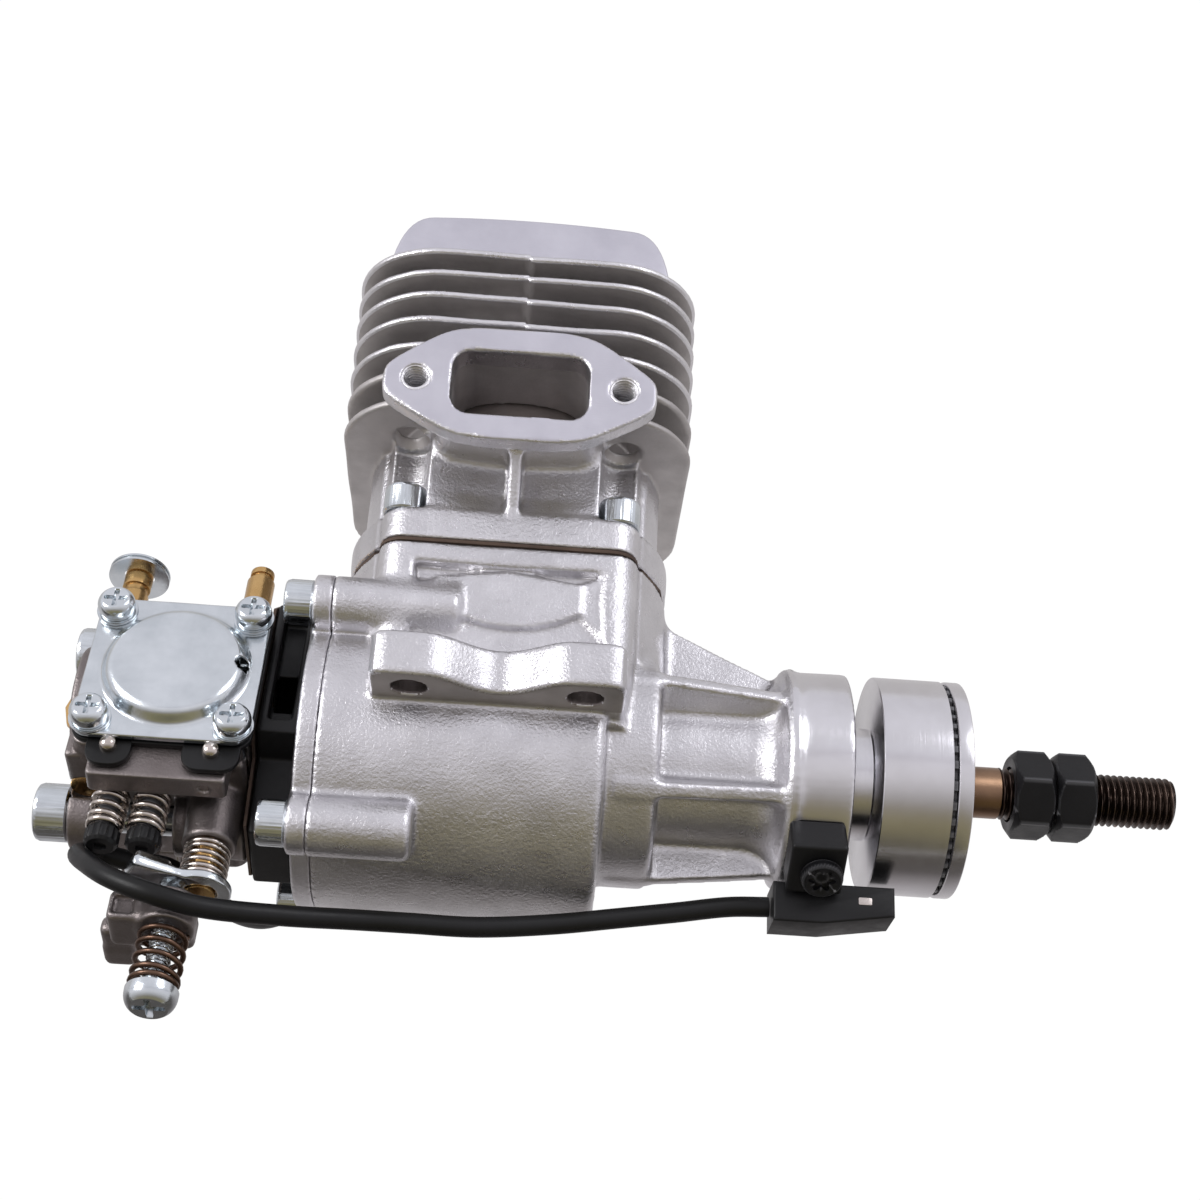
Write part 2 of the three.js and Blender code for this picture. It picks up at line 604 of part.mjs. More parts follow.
add(carburettor, 'pump_cover', cut(join(
  plate('z', roundedRectangle(-59.4, -36.6, -13, 12, 2.6), -14.4, -10.9, 3),
  rod('z', -17.4, -14, 4.6, [-48, -0.5], 24),
  turned('z', [[-14, 0], [-14, 2], [-22, 2], [-23, 2.6], [-24.5, 1.9], [-24.5, 0]],
    16, [-55, 7]),
), rod('z', -26, -12.4, 1.2, [-55, 7], 10)), dieCast);

// Throttle: shaft and butterfly nearly closed at rest, lever with its return spring below.
const throttle = { v: throatV, w: throatW };
add(carburettor, 'throttle_shaft', cut(turned('y', [[-30.7, 0], [-30.7, shaftRadius],
  [29.4, shaftRadius], [29.6, 1.7], [30.2, 1.7], [30.4, 1.9], [31.3, 1.9], [31.3, 0]],
20, [throttleX, throttle.w]),
box(throttleX - 0.75, throttleX + 0.75, throttle.v - 6.9, throttle.v + 6.9, -1, 10)), brass);
add(carburettor, 'throttle_plate',
  rod('x', throttleX - 0.4, throttleX + 0.4, 6.3, [throttle.v, throttle.w], 28), brass);

function throttleLever() {
  const ring = rod('y', -30.4, -29, 4.4, [throttleX, throttle.w], 28);
  const arm = plate('y', polygon([[0, -3.4], [-8.6, -1.6], [-10.4, 0], [-10.2, 1.6], [0, 3.4]]),
    -30.4, -29);
  const turn = new THREE.Matrix4().makeRotationY(THREE.MathUtils.degToRad(28));
  turn.setPosition(throttleX, 0, throttle.w);
  return cut(ring.add(toSolid(toGeometry(arm).applyMatrix4(turn))),
    rod('y', -33, -28, shaftRadius + gap, [throttleX, throttle.w], 20));
}
add(carburettor, 'throttle_lever', throttleLever(), zinc);
add(carburettor, 'throttle_spring',
  sleeve('y', -28.6, -22.9, 3.5, 2.7, [throttleX, throttle.w], 24), springBronze);

// Choke: shaft and butterfly standing open at rest, round lever on the upper end.
add(carburettor, 'choke_shaft', cut(
  rod('y', -14.4, 30, shaftRadius, [chokeX, throttle.w], 20),
  box(chokeX - 3, chokeX + 3, throttle.v - 6.6, throttle.v + 6.6, 3.75, 5.25)), brass);
add(carburettor, 'choke_plate',
  rod('z', throttle.w - 0.4, throttle.w + 0.4, 5.9, [chokeX, throttle.v], 28), brass);
add(carburettor, 'choke_lever',
  sleeve('y', 28.4, 29.6, 4.8, shaftRadius + gap, [chokeX, throttle.w], 32), zinc);

// Needles with plastic caps, and the idle screw; each has a coil spring around it.
[['low_needle', -54.2], ['high_needle', -48.4]].forEach(([name, x]) => {
  add(carburettor, name, turned('y', [[-9.4, 0], [-13.5, 1.4], [-23.3, 1.4], [-23.3, 2.4],
    [-25.4, 2.4], [-25.8, 2], [-25.8, 0]], 18, [x, 8]), blackPlastic);
  add(carburettor, `${name}_spring`,
    sleeve('y', -23, -14, 2.7, 1.9, [x, 8], 24), springNickel);
});
add(carburettor, 'idle_screw',
  panScrew('y', -49, -46.2, -31, 3.7, 1.6, [idleX, throatW]), zinc);
add(carburettor, 'idle_spring',
  sleeve('y', -45.8, -37.1, 3.6, 2.7, [idleX, throatW], 24), springBronze);

for (const [name, side] of [['carb_bolt_lower', -1], ['carb_bolt_upper', 1]]) {
  add(carburettor, name, capScrew('x', carbFront - gap - 5, carbFront - gap, -26, 4.3, 2.4,
    [throatV + side * carbBoltV, carbBoltW]), zinc);
}

function flangeHoles(from, to) {
  return [rod('x', from, to, 7.4, [throatV, throatW], 28),
    ...[-carbBoltV, carbBoltV].map((side) =>
      rod('x', from, to, 2.8, [throatV + side, carbBoltW], 12))];
}
const flangeOutline = (low, high) => polygon([[low, -7], [low, 5.5], [-9, 8.5], [-8, 14],
  [high - 4, 14], [high, 10], [high, -7], [high - 3, -10.5], [low + 3, -10.5]]);
add(carburettor, 'carb_gasket', cut(
  plate('x', flangeOutline(-19, 19.6), -35.3, -34.9), ...flangeHoles(-36, -34)), gasketPaper);
add(carburettor, 'insulator_block', cut(
  plate('x', flangeOutline(-20, 20.4), -34.6, coverBack - gap), ...flangeHoles(-36, -28),
  ...insulatorRelief()), blackPlastic);

// Clearance in the insulator for the heads of the rear cover bolts.
function insulatorRelief() {
  const c = Math.cos(carbTilt);
  const s = Math.sin(carbTilt);
  return coverBolts.map(([y, z]) =>
    rod('x', -36, -28, 4.1, [y * c - z * s, y * s + z * c], 18));
}

// ---- ignition sensor ----------------------------------------------------------
const sensorFaces = [
  [42.1, -18.4], [42.1, -24.4], [49.5, -24.4], [60, -22.8], [60, -18.4],
];
add(engine, 'sensor_body', plate('z', polygon(sensorFaces), sensorZ - 4, sensorZ + 3.6),
  blackPlastic);

function inClampFrame(solid) {
  // The clamp stands radially on the bearing ring, 30 degrees round from straight down.
  const turn = new THREE.Matrix4().makeRotationX(THREE.MathUtils.degToRad(-30));
  return toSolid(toGeometry(solid).applyMatrix4(turn));
}
const clampScrewX = 48.4;
const clampHole = inClampFrame(rod('y', -24, -13.2, 1.9, [clampScrewX, 0.5], 14));
add(engine, 'sensor_clamp', cut(
  inClampFrame(box(43.6, 51.8, -21.6, -10, -3.6, 5.4)),
  rod('x', 40, 56, ringRadius + gap, [0, 0], 48),
  box(40, 62, -27, -18.4 + gap, sensorZ - 5, sensorZ + 3.6 + gap),
  clampHole), blackPlastic);
add(engine, 'sensor_screw', inClampFrame(
  capScrew('y', -23.6, -21.9, -17.1, 3.1, 1.5, [clampScrewX, 0.5])), blackSteel);

const leadRoute = [
  [42.1 - gap, sensorY, sensorZ], [36, -21.8, 3.1], [28, -23.4, 3.8], [20, -25, 4.7],
  [10, -27, 6], [-1, -28.6, 7.6], [-10, -29, 8.9], [-18, -29.5, 10.6], [-28, -30.7, 14.5],
  [-38.3, -31.7, 19.6], [-45, -30.7, 21.2], [-51.1, -28.3, 19.4], [-55.3, -25.3, 15.6],
  [-57.8, -22.6, 11.2], [-56.2, -20.7, 6.3], [-51.5, -21.1, 4.5], [-46.6, -21.4, 3.8],
  [-43, -22.2, -1.5], [-39.4, -22.4, -12], [-34.4, -20.6, -22.2],
  [-26, -14.6, -27.8], [-15, -10.2, -29.4], [-4, -8.4, -29.4], [3, -8, -29.4],
];
const plugStart = 3 + gap;
function makeLead() {
  const curve = new THREE.CatmullRomCurve3(
    leadRoute.map(([x, y, z]) => new THREE.Vector3(x, y, z)), false, 'centripetal');
  const section = new THREE.Shape();
  section.absarc(0, 0, cableRadius, 0, 2 * Math.PI);
  const geometry = new THREE.ExtrudeGeometry(section, {
    steps: 36, bevelEnabled: false, extrudePath: curve, curveSegments: 4,
  });
  return toSolid(geometry);
}
add(engine, 'sensor_lead', makeLead(), blackRubber);
add(engine, 'lead_plug', box(plugStart, plugStart + 14, -12, -4, -31, -28), blackPlastic);

export default engine;
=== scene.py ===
# A 20 cc two-stroke model aircraft engine, lying on its side on a pale floor.
# Lengths are millimetres in the CAD frame unless a comment says otherwise.
import json
import math

import bpy
import numpy as np
import openvdb
from mathutils import Matrix, Vector


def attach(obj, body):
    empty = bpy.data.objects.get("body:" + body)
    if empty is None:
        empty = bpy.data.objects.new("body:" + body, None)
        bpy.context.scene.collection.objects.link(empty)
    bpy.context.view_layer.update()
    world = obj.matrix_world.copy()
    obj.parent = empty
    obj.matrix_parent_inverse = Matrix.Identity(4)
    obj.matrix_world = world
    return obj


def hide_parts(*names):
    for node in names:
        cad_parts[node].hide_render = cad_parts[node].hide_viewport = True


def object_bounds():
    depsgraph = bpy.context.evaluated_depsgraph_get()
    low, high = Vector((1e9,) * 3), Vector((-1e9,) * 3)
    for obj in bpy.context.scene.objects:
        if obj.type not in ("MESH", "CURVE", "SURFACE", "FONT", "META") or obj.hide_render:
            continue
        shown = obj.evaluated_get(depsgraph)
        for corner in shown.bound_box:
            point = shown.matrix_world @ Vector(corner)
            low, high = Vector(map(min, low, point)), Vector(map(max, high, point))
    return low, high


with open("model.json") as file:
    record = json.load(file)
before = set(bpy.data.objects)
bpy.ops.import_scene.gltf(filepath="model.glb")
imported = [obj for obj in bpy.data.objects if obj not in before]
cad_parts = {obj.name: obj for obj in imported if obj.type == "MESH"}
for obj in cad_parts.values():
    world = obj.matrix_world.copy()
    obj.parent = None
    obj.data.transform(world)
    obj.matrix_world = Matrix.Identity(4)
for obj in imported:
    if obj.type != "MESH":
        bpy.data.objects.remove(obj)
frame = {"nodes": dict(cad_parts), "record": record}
cad_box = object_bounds()

MM = 0.001
random = np.random.default_rng(20)


def placed(name, data):
    """Puts a camera, a light or a mesh into the scene as an object."""
    made = bpy.data.objects.new(name, data)
    bpy.context.scene.collection.objects.link(made)
    return made


# ---- camera ---------------------------------------------------------------------------------
CAMERA_AT = (5.21, -109.28, 280.95)
CAMERA_YAW, CAMERA_UP, CAMERA_ROLL = (math.radians(a) for a in (-3.93, 63.81, 7.42))
SENSOR, FOCAL_PIXELS, FRAME_PIXELS = 36, 1958.9, 1200


def make_camera():
    a, e, r = CAMERA_YAW, CAMERA_UP, CAMERA_ROLL
    back = Vector((math.sin(a) * math.cos(e), -math.cos(a) * math.cos(e), math.sin(e)))
    up = Vector((-math.sin(a) * math.sin(e), math.cos(a) * math.sin(e), math.cos(e)))
    right = up.cross(back)
    axes = (math.cos(r) * right + math.sin(r) * up, -math.sin(r) * right + math.cos(r) * up, back)
    data = bpy.data.cameras.new("camera")
    data.lens = SENSOR * FOCAL_PIXELS / FRAME_PIXELS
    data.sensor_width = SENSOR
    data.clip_start = 0.01
    camera = placed("camera", data)
    camera.matrix_world = Matrix([[*(axis[k] for axis in axes), CAMERA_AT[k] * MM]
                                  for k in range(3)] + [[0, 0, 0, 1]])
    bpy.context.scene.camera = camera


make_camera()

# ---- materials ------------------------------------------------------------------------------


class Nodes:
    """Adds nodes to the tree of a material or a world."""

    def __init__(self, owner):
        owner.use_nodes = True
        self.tree = owner.node_tree

    def feed(self, node, **inputs):
        """Links or sets inputs by name, an underscore standing for a space."""
        for name, value in inputs.items():
            self.join(node.inputs[name.replace("_", " ")], value)

    def join(self, socket, value):
        if isinstance(value, bpy.types.NodeSocket):
            self.tree.links.new(value, socket)
        else:
            socket.default_value = value

    def node(self, kind, *values, settings=(), **inputs):
        """Makes a node, its first inputs taking the values in order."""
        made = self.tree.nodes.new("ShaderNode" + kind)
        for key, value in settings:
            setattr(made, key, value)
        for socket, value in zip(made.inputs, values):
            self.join(socket, value)
        self.feed(made, **inputs)
        return made

    def bands(self, coordinates, low, high, stops):
        """A colour that follows y from low to high, with stops from 0 to 1."""
        place = self.node("TexCoord").outputs[coordinates]
        height = self.node("SeparateXYZ", place).outputs["Y"]
        span = self.node("MapRange", height, From_Min=low, From_Max=high).outputs["Result"]
        ramp = self.node("ValToRGB", span)
        elements = ramp.color_ramp.elements
        while len(elements) < len(stops):
            elements.new(0.5)
        for element, (at, colour) in zip(elements, stops):
            element.position = at
            element.color = (*colour, 1)
        return ramp.outputs["Color"]


class Look(Nodes):
    """A procedural finish. Sizes are millimetres, in the piece's own coordinates."""

    def __init__(self, name, tint, shade, rough, metallic, **inputs):
        self.material = bpy.data.materials.new(name)
        super().__init__(self.material)
        self.shader = self.tree.nodes["Principled BSDF"]
        self.feed(self.shader, Metallic=metallic, **inputs)
        metres = self.node("TexCoord").outputs["Object"]
        self.place = self.node("VectorMath", metres, settings=[("operation", "SCALE")],
                               Scale=1 / MM).outputs[0]
        self.height = None
        self.paint(self.mix(self.ramp(self.noise(9, 4, 0.6), 0.35, 0.68), shade, tint))
        spread = self.noise(2.6, 3, 0.6, offset=31)
        self.feed(self.shader, Roughness=self.ramp(spread, 0.3, 0.7, *rough))

    def paint(self, colour):
        self.colour = colour
        self.feed(self.shader, Base_Color=colour)
        return self

    def noise(self, size, detail=3, rough=0.5, stretch=(1, 1, 1), offset=0):
        mapping = self.node("Mapping", self.place, Scale=[s / size for s in stretch],
                            Location=(offset, offset * 0.7, -offset))
        return self.node("TexNoise", mapping.outputs[0], Scale=1, Detail=detail,
                         Roughness=rough).outputs["Fac"]

    def ramp(self, value, low, high, to_low=0.0, to_high=1.0):
        return self.node("MapRange", value, low, high, to_low, to_high).outputs["Result"]

    def mix(self, factor, first, second):
        made = self.node("Mix", factor, settings=[("data_type", "RGBA")])
        for socket, value in zip(made.inputs[6:8], (first, second)):
            self.join(socket, (*value, 1) if isinstance(value, tuple) else value)
        return made.outputs[2]

    def maths(self, operation, first, second):
        return self.node("Math", first, second, settings=[("operation", operation)]).outputs[0]

    def grain(self, size, depth, detail=3, rough=0.6, **where):
        """Adds a noise to the bump, its depth in millimetres from trough to crest."""
        part = self.maths("MULTIPLY", self.noise(size, detail, rough, **where), depth)
        self.height = part if self.height is None else self.maths("ADD", self.height, part)
        return self

    def rings(self, axis, pitch, depth):
        """Fine turning marks round an axis."""
        stretch = [0.006, 0.006, 0.006]
        stretch["xyz".index(axis)] = 1
        return self.grain(pitch, depth, 4, 0.7, stretch=stretch)

    def sharpness(self, low, high):
        return self.ramp(self.node("NewGeometry").outputs["Pointiness"], low, high)

    def edges(self, tint, low=0.52, high=0.6):
        """Paler edges where the surface turns sharply outwards: partly rubbed wear, partly a
        painted highlight.
        """
        return self.paint(self.mix(self.sharpness(low, high), self.colour, tint))

    def shade_in_hollows(self, tint, low=0.4, high=0.495):
        """Painted shade in the corners: a darker colour where the surface turns inwards."""
        return self.paint(self.mix(self.sharpness(low, high), tint, self.colour))

    def cast_skin_and_painted_light(self):
        """The slow swells of a raw casting, with painted shade in its corners and paler edges,
        partly wear and partly a painted highlight.
        """
        return self.grain(6, 0.2, 2, 0.4).shade_in_hollows((0.34, 0.33, 0.33)).edges((0.84, 0.83, 0.85))

    def done(self):
        if self.height is not None:
            bump = self.node("Bump", Distance=MM, Height=self.height)
            self.feed(self.shader, Normal=bump.outputs[0])
        return self.material


# In these finishes the hollows layer paints shade into corners and recesses, and the edges layer
# paints edges paler, partly as wear and partly as a painted highlight.
LOOKS = {
    "cast": Look("cast_aluminium", (0.73, 0.72, 0.745), (0.61, 0.6, 0.62), (0.26, 0.36), 0.98)
    .grain(0.45, 0.11).cast_skin_and_painted_light(),
    "blasted": Look("blasted_aluminium", (0.73, 0.72, 0.735), (0.59, 0.58, 0.59), (0.25, 0.35),
                    0.98).grain(0.55, 0.17).cast_skin_and_painted_light(),
    # The fin look is darker than the cast look: painted shade for the faces between the fins and
    # the barrel behind them.
    "fin": Look("fin_aluminium_painted_shade", (0.58, 0.555, 0.55), (0.46, 0.44, 0.435), (0.42, 0.56), 0.8)
    .grain(0.5, 0.03).grain(7, 0.2, 2, 0.4),
    "lug": Look("lug_face", (0.42, 0.39, 0.38), (0.32, 0.3, 0.29), (0.4, 0.52), 0.8)
    .grain(0.4, 0.03),
    "milled": Look("milled_aluminium", (0.6, 0.59, 0.65), (0.53, 0.52, 0.58), (0.4, 0.48), 0.75)
    .grain(0.25, 0.02, stretch=(0.1, 1, 1)).grain(1.2, 0.02),
    "turned": Look("turned_aluminium", (0.74, 0.73, 0.76), (0.68, 0.67, 0.69), (0.2, 0.24), 1.0)
    .rings("x", 0.3, 0.02),
    "steel": Look("ground_steel", (0.5, 0.5, 0.51), (0.4, 0.4, 0.4), (0.24, 0.34), 1.0)
    .rings("x", 0.2, 0.006),
    "bronzed": Look("bronzed_steel", (0.28, 0.175, 0.11), (0.17, 0.105, 0.07), (0.26, 0.36), 1.0)
    .rings("x", 0.25, 0.01).grain(0.6, 0.01),
    # The thread look is a darker copy of the bronzed steel, painted shade in the thread, with
    # paler bronze crests as a painted highlight.
    "thread": Look("thread_steel_painted_shade", (0.075, 0.052, 0.042), (0.04, 0.028, 0.023), (0.3, 0.42), 1.0)
    .grain(0.3, 0.012).edges((0.3, 0.22, 0.18), 0.54, 0.66),
    "black_steel": Look("black_oxide_steel", (0.01, 0.01, 0.011), (0.006, 0.006, 0.007),
                        (0.3, 0.42), 0.1, Specular_IOR_Level=0.25)
    .grain(0.25, 0.01).grain(2, 0.02).edges((0.16, 0.16, 0.17), 0.53, 0.62),
    "zinc": Look("bright_zinc", (0.74, 0.78, 0.81), (0.6, 0.64, 0.67), (0.13, 0.24), 1.0)
    .grain(0.5, 0.008).grain(2.5, 0.015).shade_in_hollows((0.3, 0.31, 0.31)),
    "brass": Look("turned_brass", (0.7, 0.46, 0.2), (0.52, 0.32, 0.12), (0.18, 0.3), 1.0)
    .rings("y", 0.2, 0.008).shade_in_hollows((0.2, 0.12, 0.05)),
    "die_cast": Look("grey_die_casting", (0.26, 0.23, 0.225), (0.19, 0.165, 0.16), (0.32, 0.46),
                     0.88)
    .grain(0.35, 0.07).grain(3, 0.05).shade_in_hollows((0.09, 0.08, 0.08)).edges((0.4, 0.37, 0.36)),
    "piston": Look("piston_skirt", (0.36, 0.32, 0.3), (0.28, 0.245, 0.23), (0.4, 0.5), 0.7)
    .rings("y", 0.2, 0.01),
    "spring_nickel": Look("spring_nickel", (0.66, 0.6, 0.56), (0.5, 0.45, 0.41), (0.14, 0.24),
                          1.0).grain(0.3, 0.006),
    "spring_bronze": Look("spring_bronze", (0.17, 0.105, 0.075), (0.1, 0.06, 0.043),
                          (0.22, 0.34), 1.0).grain(0.3, 0.008),
    "plastic": Look("black_plastic", (0.009, 0.009, 0.01), (0.006, 0.006, 0.0065), (0.36, 0.48),
                    0.0, Specular_IOR_Level=0.3).grain(0.22, 0.012).grain(3, 0.03),
    "paper": Look("gasket_fibre", (0.1, 0.065, 0.045), (0.05, 0.03, 0.022), (0.75, 0.9), 0.0)
    .grain(0.25, 0.06),
    "rubber": Look("black_rubber", (0.008, 0.008, 0.009), (0.005, 0.005, 0.005), (0.36, 0.46),
                   0.0, Specular_IOR_Level=0.3).grain(0.3, 0.006).grain(4, 0.03),
}
LOOKS = {key: look.done() for key, look in LOOKS.items()}

# ---- plain meshes ---------------------------------------------------------------------------
# A mesh here is a list of (vertices, [faces, ...], material index); faces are index rows.


def strip(rows, around, closed=False):
    """Faces for a tube of rows, each of so many vertices around."""
    i = np.arange(around)
    j = (i + 1) % around
    quads = []
    for row in range(rows if closed else rows - 1):
        a, b = row * around, ((row + 1) % rows) * around
        quads.append(np.stack([a + i, a + j, b + j, b + i], axis=1))
    ends = [] if closed else [i[::-1][None], ((rows - 1) * around + i)[None]]
    return [np.concatenate(quads), *ends]


def outward(verts, faces, tag=0):
    """Makes a mesh, its faces turned so that its volume isn't negative."""
    volume = 0.0
    for rows in faces:
        for k in range(1, rows.shape[1] - 1):
            a, b, c = verts[rows[:, 0]], verts[rows[:, k]], verts[rows[:, k + 1]]
            volume += np.einsum("ij,ij->i", a, np.cross(b, c)).sum()
    if volume < 0:
        faces = [rows[:, ::-1] for rows in faces]
    return [(verts, faces, tag)]


def to_axis(along, p, q, axis):
    """Points from their places along an axis and across it."""
    return np.stack({"x": (along, p, q), "y": (p, along, q), "z": (p, q, along)}[axis], axis=-1)


def bearings(sides):
    return np.arange(sides) * 2 * math.pi / sides


def hoop(axis, along, radius, sides, at):
    """A row of points round an axis; the radius may be one for each point."""
    theta = bearings(sides)
    return to_axis(np.full(sides, along), at[0] + radius * np.cos(theta),
                   at[1] + radius * np.sin(theta), axis)


def curve(a, b, c, t):
    """A point of the bend from a to c that b pulls on."""
    return (1 - t) ** 2 * a + 2 * t * (1 - t) * b + t * t * c


def rounded(rows, radius, steps=3):
    """Rounds the corners of a profile of (along, radius) rows."""
    out = [rows[0]]
    for before, here, after in zip(rows, rows[1:], rows[2:]):
        p, c, n = (np.array(r, float) for r in (before, here, after))
        lengths = [np.linalg.norm(p - c), np.linalg.norm(n - c)]
        cut = min(radius, 0.45 * lengths[0], 0.45 * lengths[1])
        if cut < 0.02:
            out.append(here)
            continue
        a = c + (p - c) / lengths[0] * cut
        b = c + (n - c) / lengths[1] * cut
        out.extend(tuple(curve(a, c, b, t)) for t in np.linspace(0, 1, steps + 1))
    out.append(rows[-1])
    return out


def hexagon(theta, along=None):
    return 1 / np.cos((theta + math.pi / 6) % (math.pi / 3) - math.pi / 6)


# How a radius varies round the axis.
KINDS = {
    "hex": hexagon,
    "knurl": lambda theta, along: 1 - 0.02 * np.abs(np.sin(theta * 20)),
    "coarse": lambda theta, along: 1 - 0.09 * np.abs(np.sin(theta * 8)),
    "star": lambda theta, along: 0.8 + 0.2 * np.cos(theta * 6),
    "cross": lambda theta, along: np.minimum(1, 0.24 * np.maximum(
        1 / (np.abs(np.cos(theta)) + 0.01), 1 / (np.abs(np.sin(theta)) + 0.01))),
    "teeth": lambda theta, along: 1 + 0.04 * (
        np.sin(theta * 44 + 2.5 * np.sin(theta * 5)) > 0.1),
}


def lathe(axis, rows, sides=64, at=(0, 0), ring=False, tag=0):
    """Turns a profile. A row's third item says how its radius varies round the axis."""
    points = []
    for along, radius, *kind in rows:
        size = np.full(sides, max(radius, 0.001))
        for vary in kind:
            size = size * KINDS.get(vary, vary)(bearings(sides), along)
        points.append(hoop(axis, along, size, sides, at))
    return outward(np.concatenate(points), strip(len(rows), sides, ring), tag)


def thread(axis, start, end, radius, pitch, depth, at=(0, 0), sides=40, inner=0.0, tag=0):
    """A screw thread with a flat-bottomed core: crests at radius, roots depth lower."""
    steps = int(abs(end - start) / pitch * 9)
    along = np.linspace(start, end, steps)
    phase = (along[:, None] / pitch - bearings(sides)[None] / (2 * math.pi)) % 1
    size = radius - depth * np.clip(np.abs(phase - 0.5) * 2.6 - 0.15, 0, 1)
    if not inner:
        fade = np.clip(np.minimum(along - min(start, end), max(start, end) - along) / pitch, 0, 1)
        size = size - 0.35 * depth * (1 - fade[:, None])
    rows = [hoop(axis, a, r, sides, at) for a, r in zip(along, size)]
    if inner:
        rows += [hoop(axis, a, inner, sides, at) for a in (along[-1], along[0])]
    return outward(np.concatenate(rows), strip(len(rows), sides, bool(inner)), tag)


def tube(points, radius, sides=12, tag=0):
    """A round wire along points, square-ended."""
    points = np.array(points, float)
    ahead = np.gradient(points, axis=0)
    ahead /= np.linalg.norm(ahead, axis=1)[:, None]
    side = np.cross(ahead[0], [0.3, 0.5, 0.81])
    rows = []
    theta = bearings(sides)[:, None]
    for point, way in zip(points, ahead):
        side = side - way * side.dot(way)
        side /= np.linalg.norm(side)
        rows.append(point + radius * (np.cos(theta) * side + np.sin(theta) * np.cross(way, side)))
    return outward(np.concatenate(rows), strip(len(points), sides), tag)


def spring(axis, start, end, radius, wire, turns, at=(0, 0)):
    """A compression spring whose last turn at each end lies closed against the next."""
    t = np.linspace(0, 1, int(turns * 28))
    angle = t * turns * 2 * math.pi
    closed = min(0.9, turns / 4) / turns
    rise = np.interp(t, [0, closed, 1 - closed, 1],
                     [0, wire * 1.6, abs(end - start) - wire * 3.6, abs(end - start) - wire * 2])
    along = start + math.copysign(1, end - start) * (wire + rise)
    return tube(to_axis(along, at[0] + radius * np.cos(angle), at[1] + radius * np.sin(angle),
                        axis), wire, 10)


def dense(outline, step=0.8):
    """An outline with its long edges divided, so that it takes smooth shading well."""
    out = []
    for a, b in zip(outline, np.roll(outline, -1, axis=0)):
        count = max(1, int(np.linalg.norm(b - a) / step))
        out.extend(a + (b - a) * k / count for k in range(count))
    return np.array(out)


def inset(outline, by):
    """Moves a closed outline inwards; it runs anticlockwise."""
    way = np.roll(outline, -1, axis=0) - np.roll(outline, 1, axis=0)
    way /= np.linalg.norm(way, axis=1)[:, None] + 1e-9
    return outline + by * np.stack([-way[:, 1], way[:, 0]], axis=1)


def slab(axis, outline, low, high, soft=0.3, tag=0):
    """A flat outline thickened along an axis, its edges rounded."""
    outline = np.array(outline, float)
    x, y = outline.T
    if (x * np.roll(y, -1) - y * np.roll(x, -1)).sum() <= 0:
        outline = outline[::-1]     # now it runs anticlockwise
    turn = np.linspace(0, math.pi / 2, 4)
    levels = [(low + soft * (1 - math.sin(t)), soft * (1 - math.cos(t))) for t in turn[::-1]]
    levels += [(high - soft * (1 - math.sin(t)), soft * (1 - math.cos(t))) for t in turn]
    rows = []
    for level, by in levels:
        flat = inset(outline, by)
        rows.append(to_axis(np.full(len(flat), level), flat[:, 0], flat[:, 1], axis))
    return outward(np.concatenate(rows), strip(len(rows), len(outline)), tag)


def rounded_box(u0, u1, v0, v1, radius, steps=8):
    """The outline of a rectangle with round corners."""
    out = []
    for cu, cv, start in ((u1 - radius, v0 + radius, -90), (u1 - radius, v1 - radius, 0),
                          (u0 + radius, v1 - radius, 90), (u0 + radius, v0 + radius, 180)):
        for k in range(steps + 1):
            a = math.radians(start + 90 * k / steps)
            out.append((cu + radius * math.cos(a), cv + radius * math.sin(a)))
    return np.array(out)


def moved(mesh, matrix):
    return [(verts @ matrix.T, faces, tag) for verts, faces, tag in mesh]


def spin_x(angle):
    c, s = math.cos(angle), math.sin(angle)
    return np.array([[1, 0, 0], [0, c, -s], [0, s, c]])


def piece(name, mesh, body, looks, *nodes, sharp=30):
    """Makes one Blender object of a mesh, riding on a body in place of CAD nodes."""
    verts = np.concatenate([part[0] for part in mesh]) * MM
    loops, starts, tags = [], [], []
    base = offset = 0
    for points, faces, tag in mesh:
        for number, rows in enumerate(faces):
            count, width = rows.shape
            loops.append((rows + base).ravel())
            starts.append(offset + np.arange(count) * width)
            tags.append(tag[number] if isinstance(tag, list) else np.full(count, tag))
            offset += count * width
        base += len(points)
    loops, starts = np.concatenate(loops), np.concatenate(starts)
    data = bpy.data.meshes.new(name)
    data.vertices.add(len(verts))
    data.vertices.foreach_set("co", verts.astype(np.float32).ravel())
    data.loops.add(len(loops))
    data.loops.foreach_set("vertex_index", loops.astype(np.int32))
    data.polygons.add(len(starts))
    data.polygons.foreach_set("loop_start", starts.astype(np.int32))
    data.polygons.foreach_set("material_index", np.concatenate(tags).astype(np.int32))
    data.update(calc_edges=True)
    data.validate()
    data.polygons.foreach_set("use_smooth", np.ones(len(data.polygons), bool))
    if sharp:
        data.set_sharp_from_angle(angle=math.radians(sharp))
    for look in (looks if isinstance(looks, tuple) else (looks,)):
        data.materials.append(LOOKS[look])
    made = placed(name, data)
    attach(made, body)
    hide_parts(*nodes)
    return made


# ---- castings: signed distances on a grid ---------------------------------------------------
# A form is (distance function of x, y and z, lowest corner, highest corner).


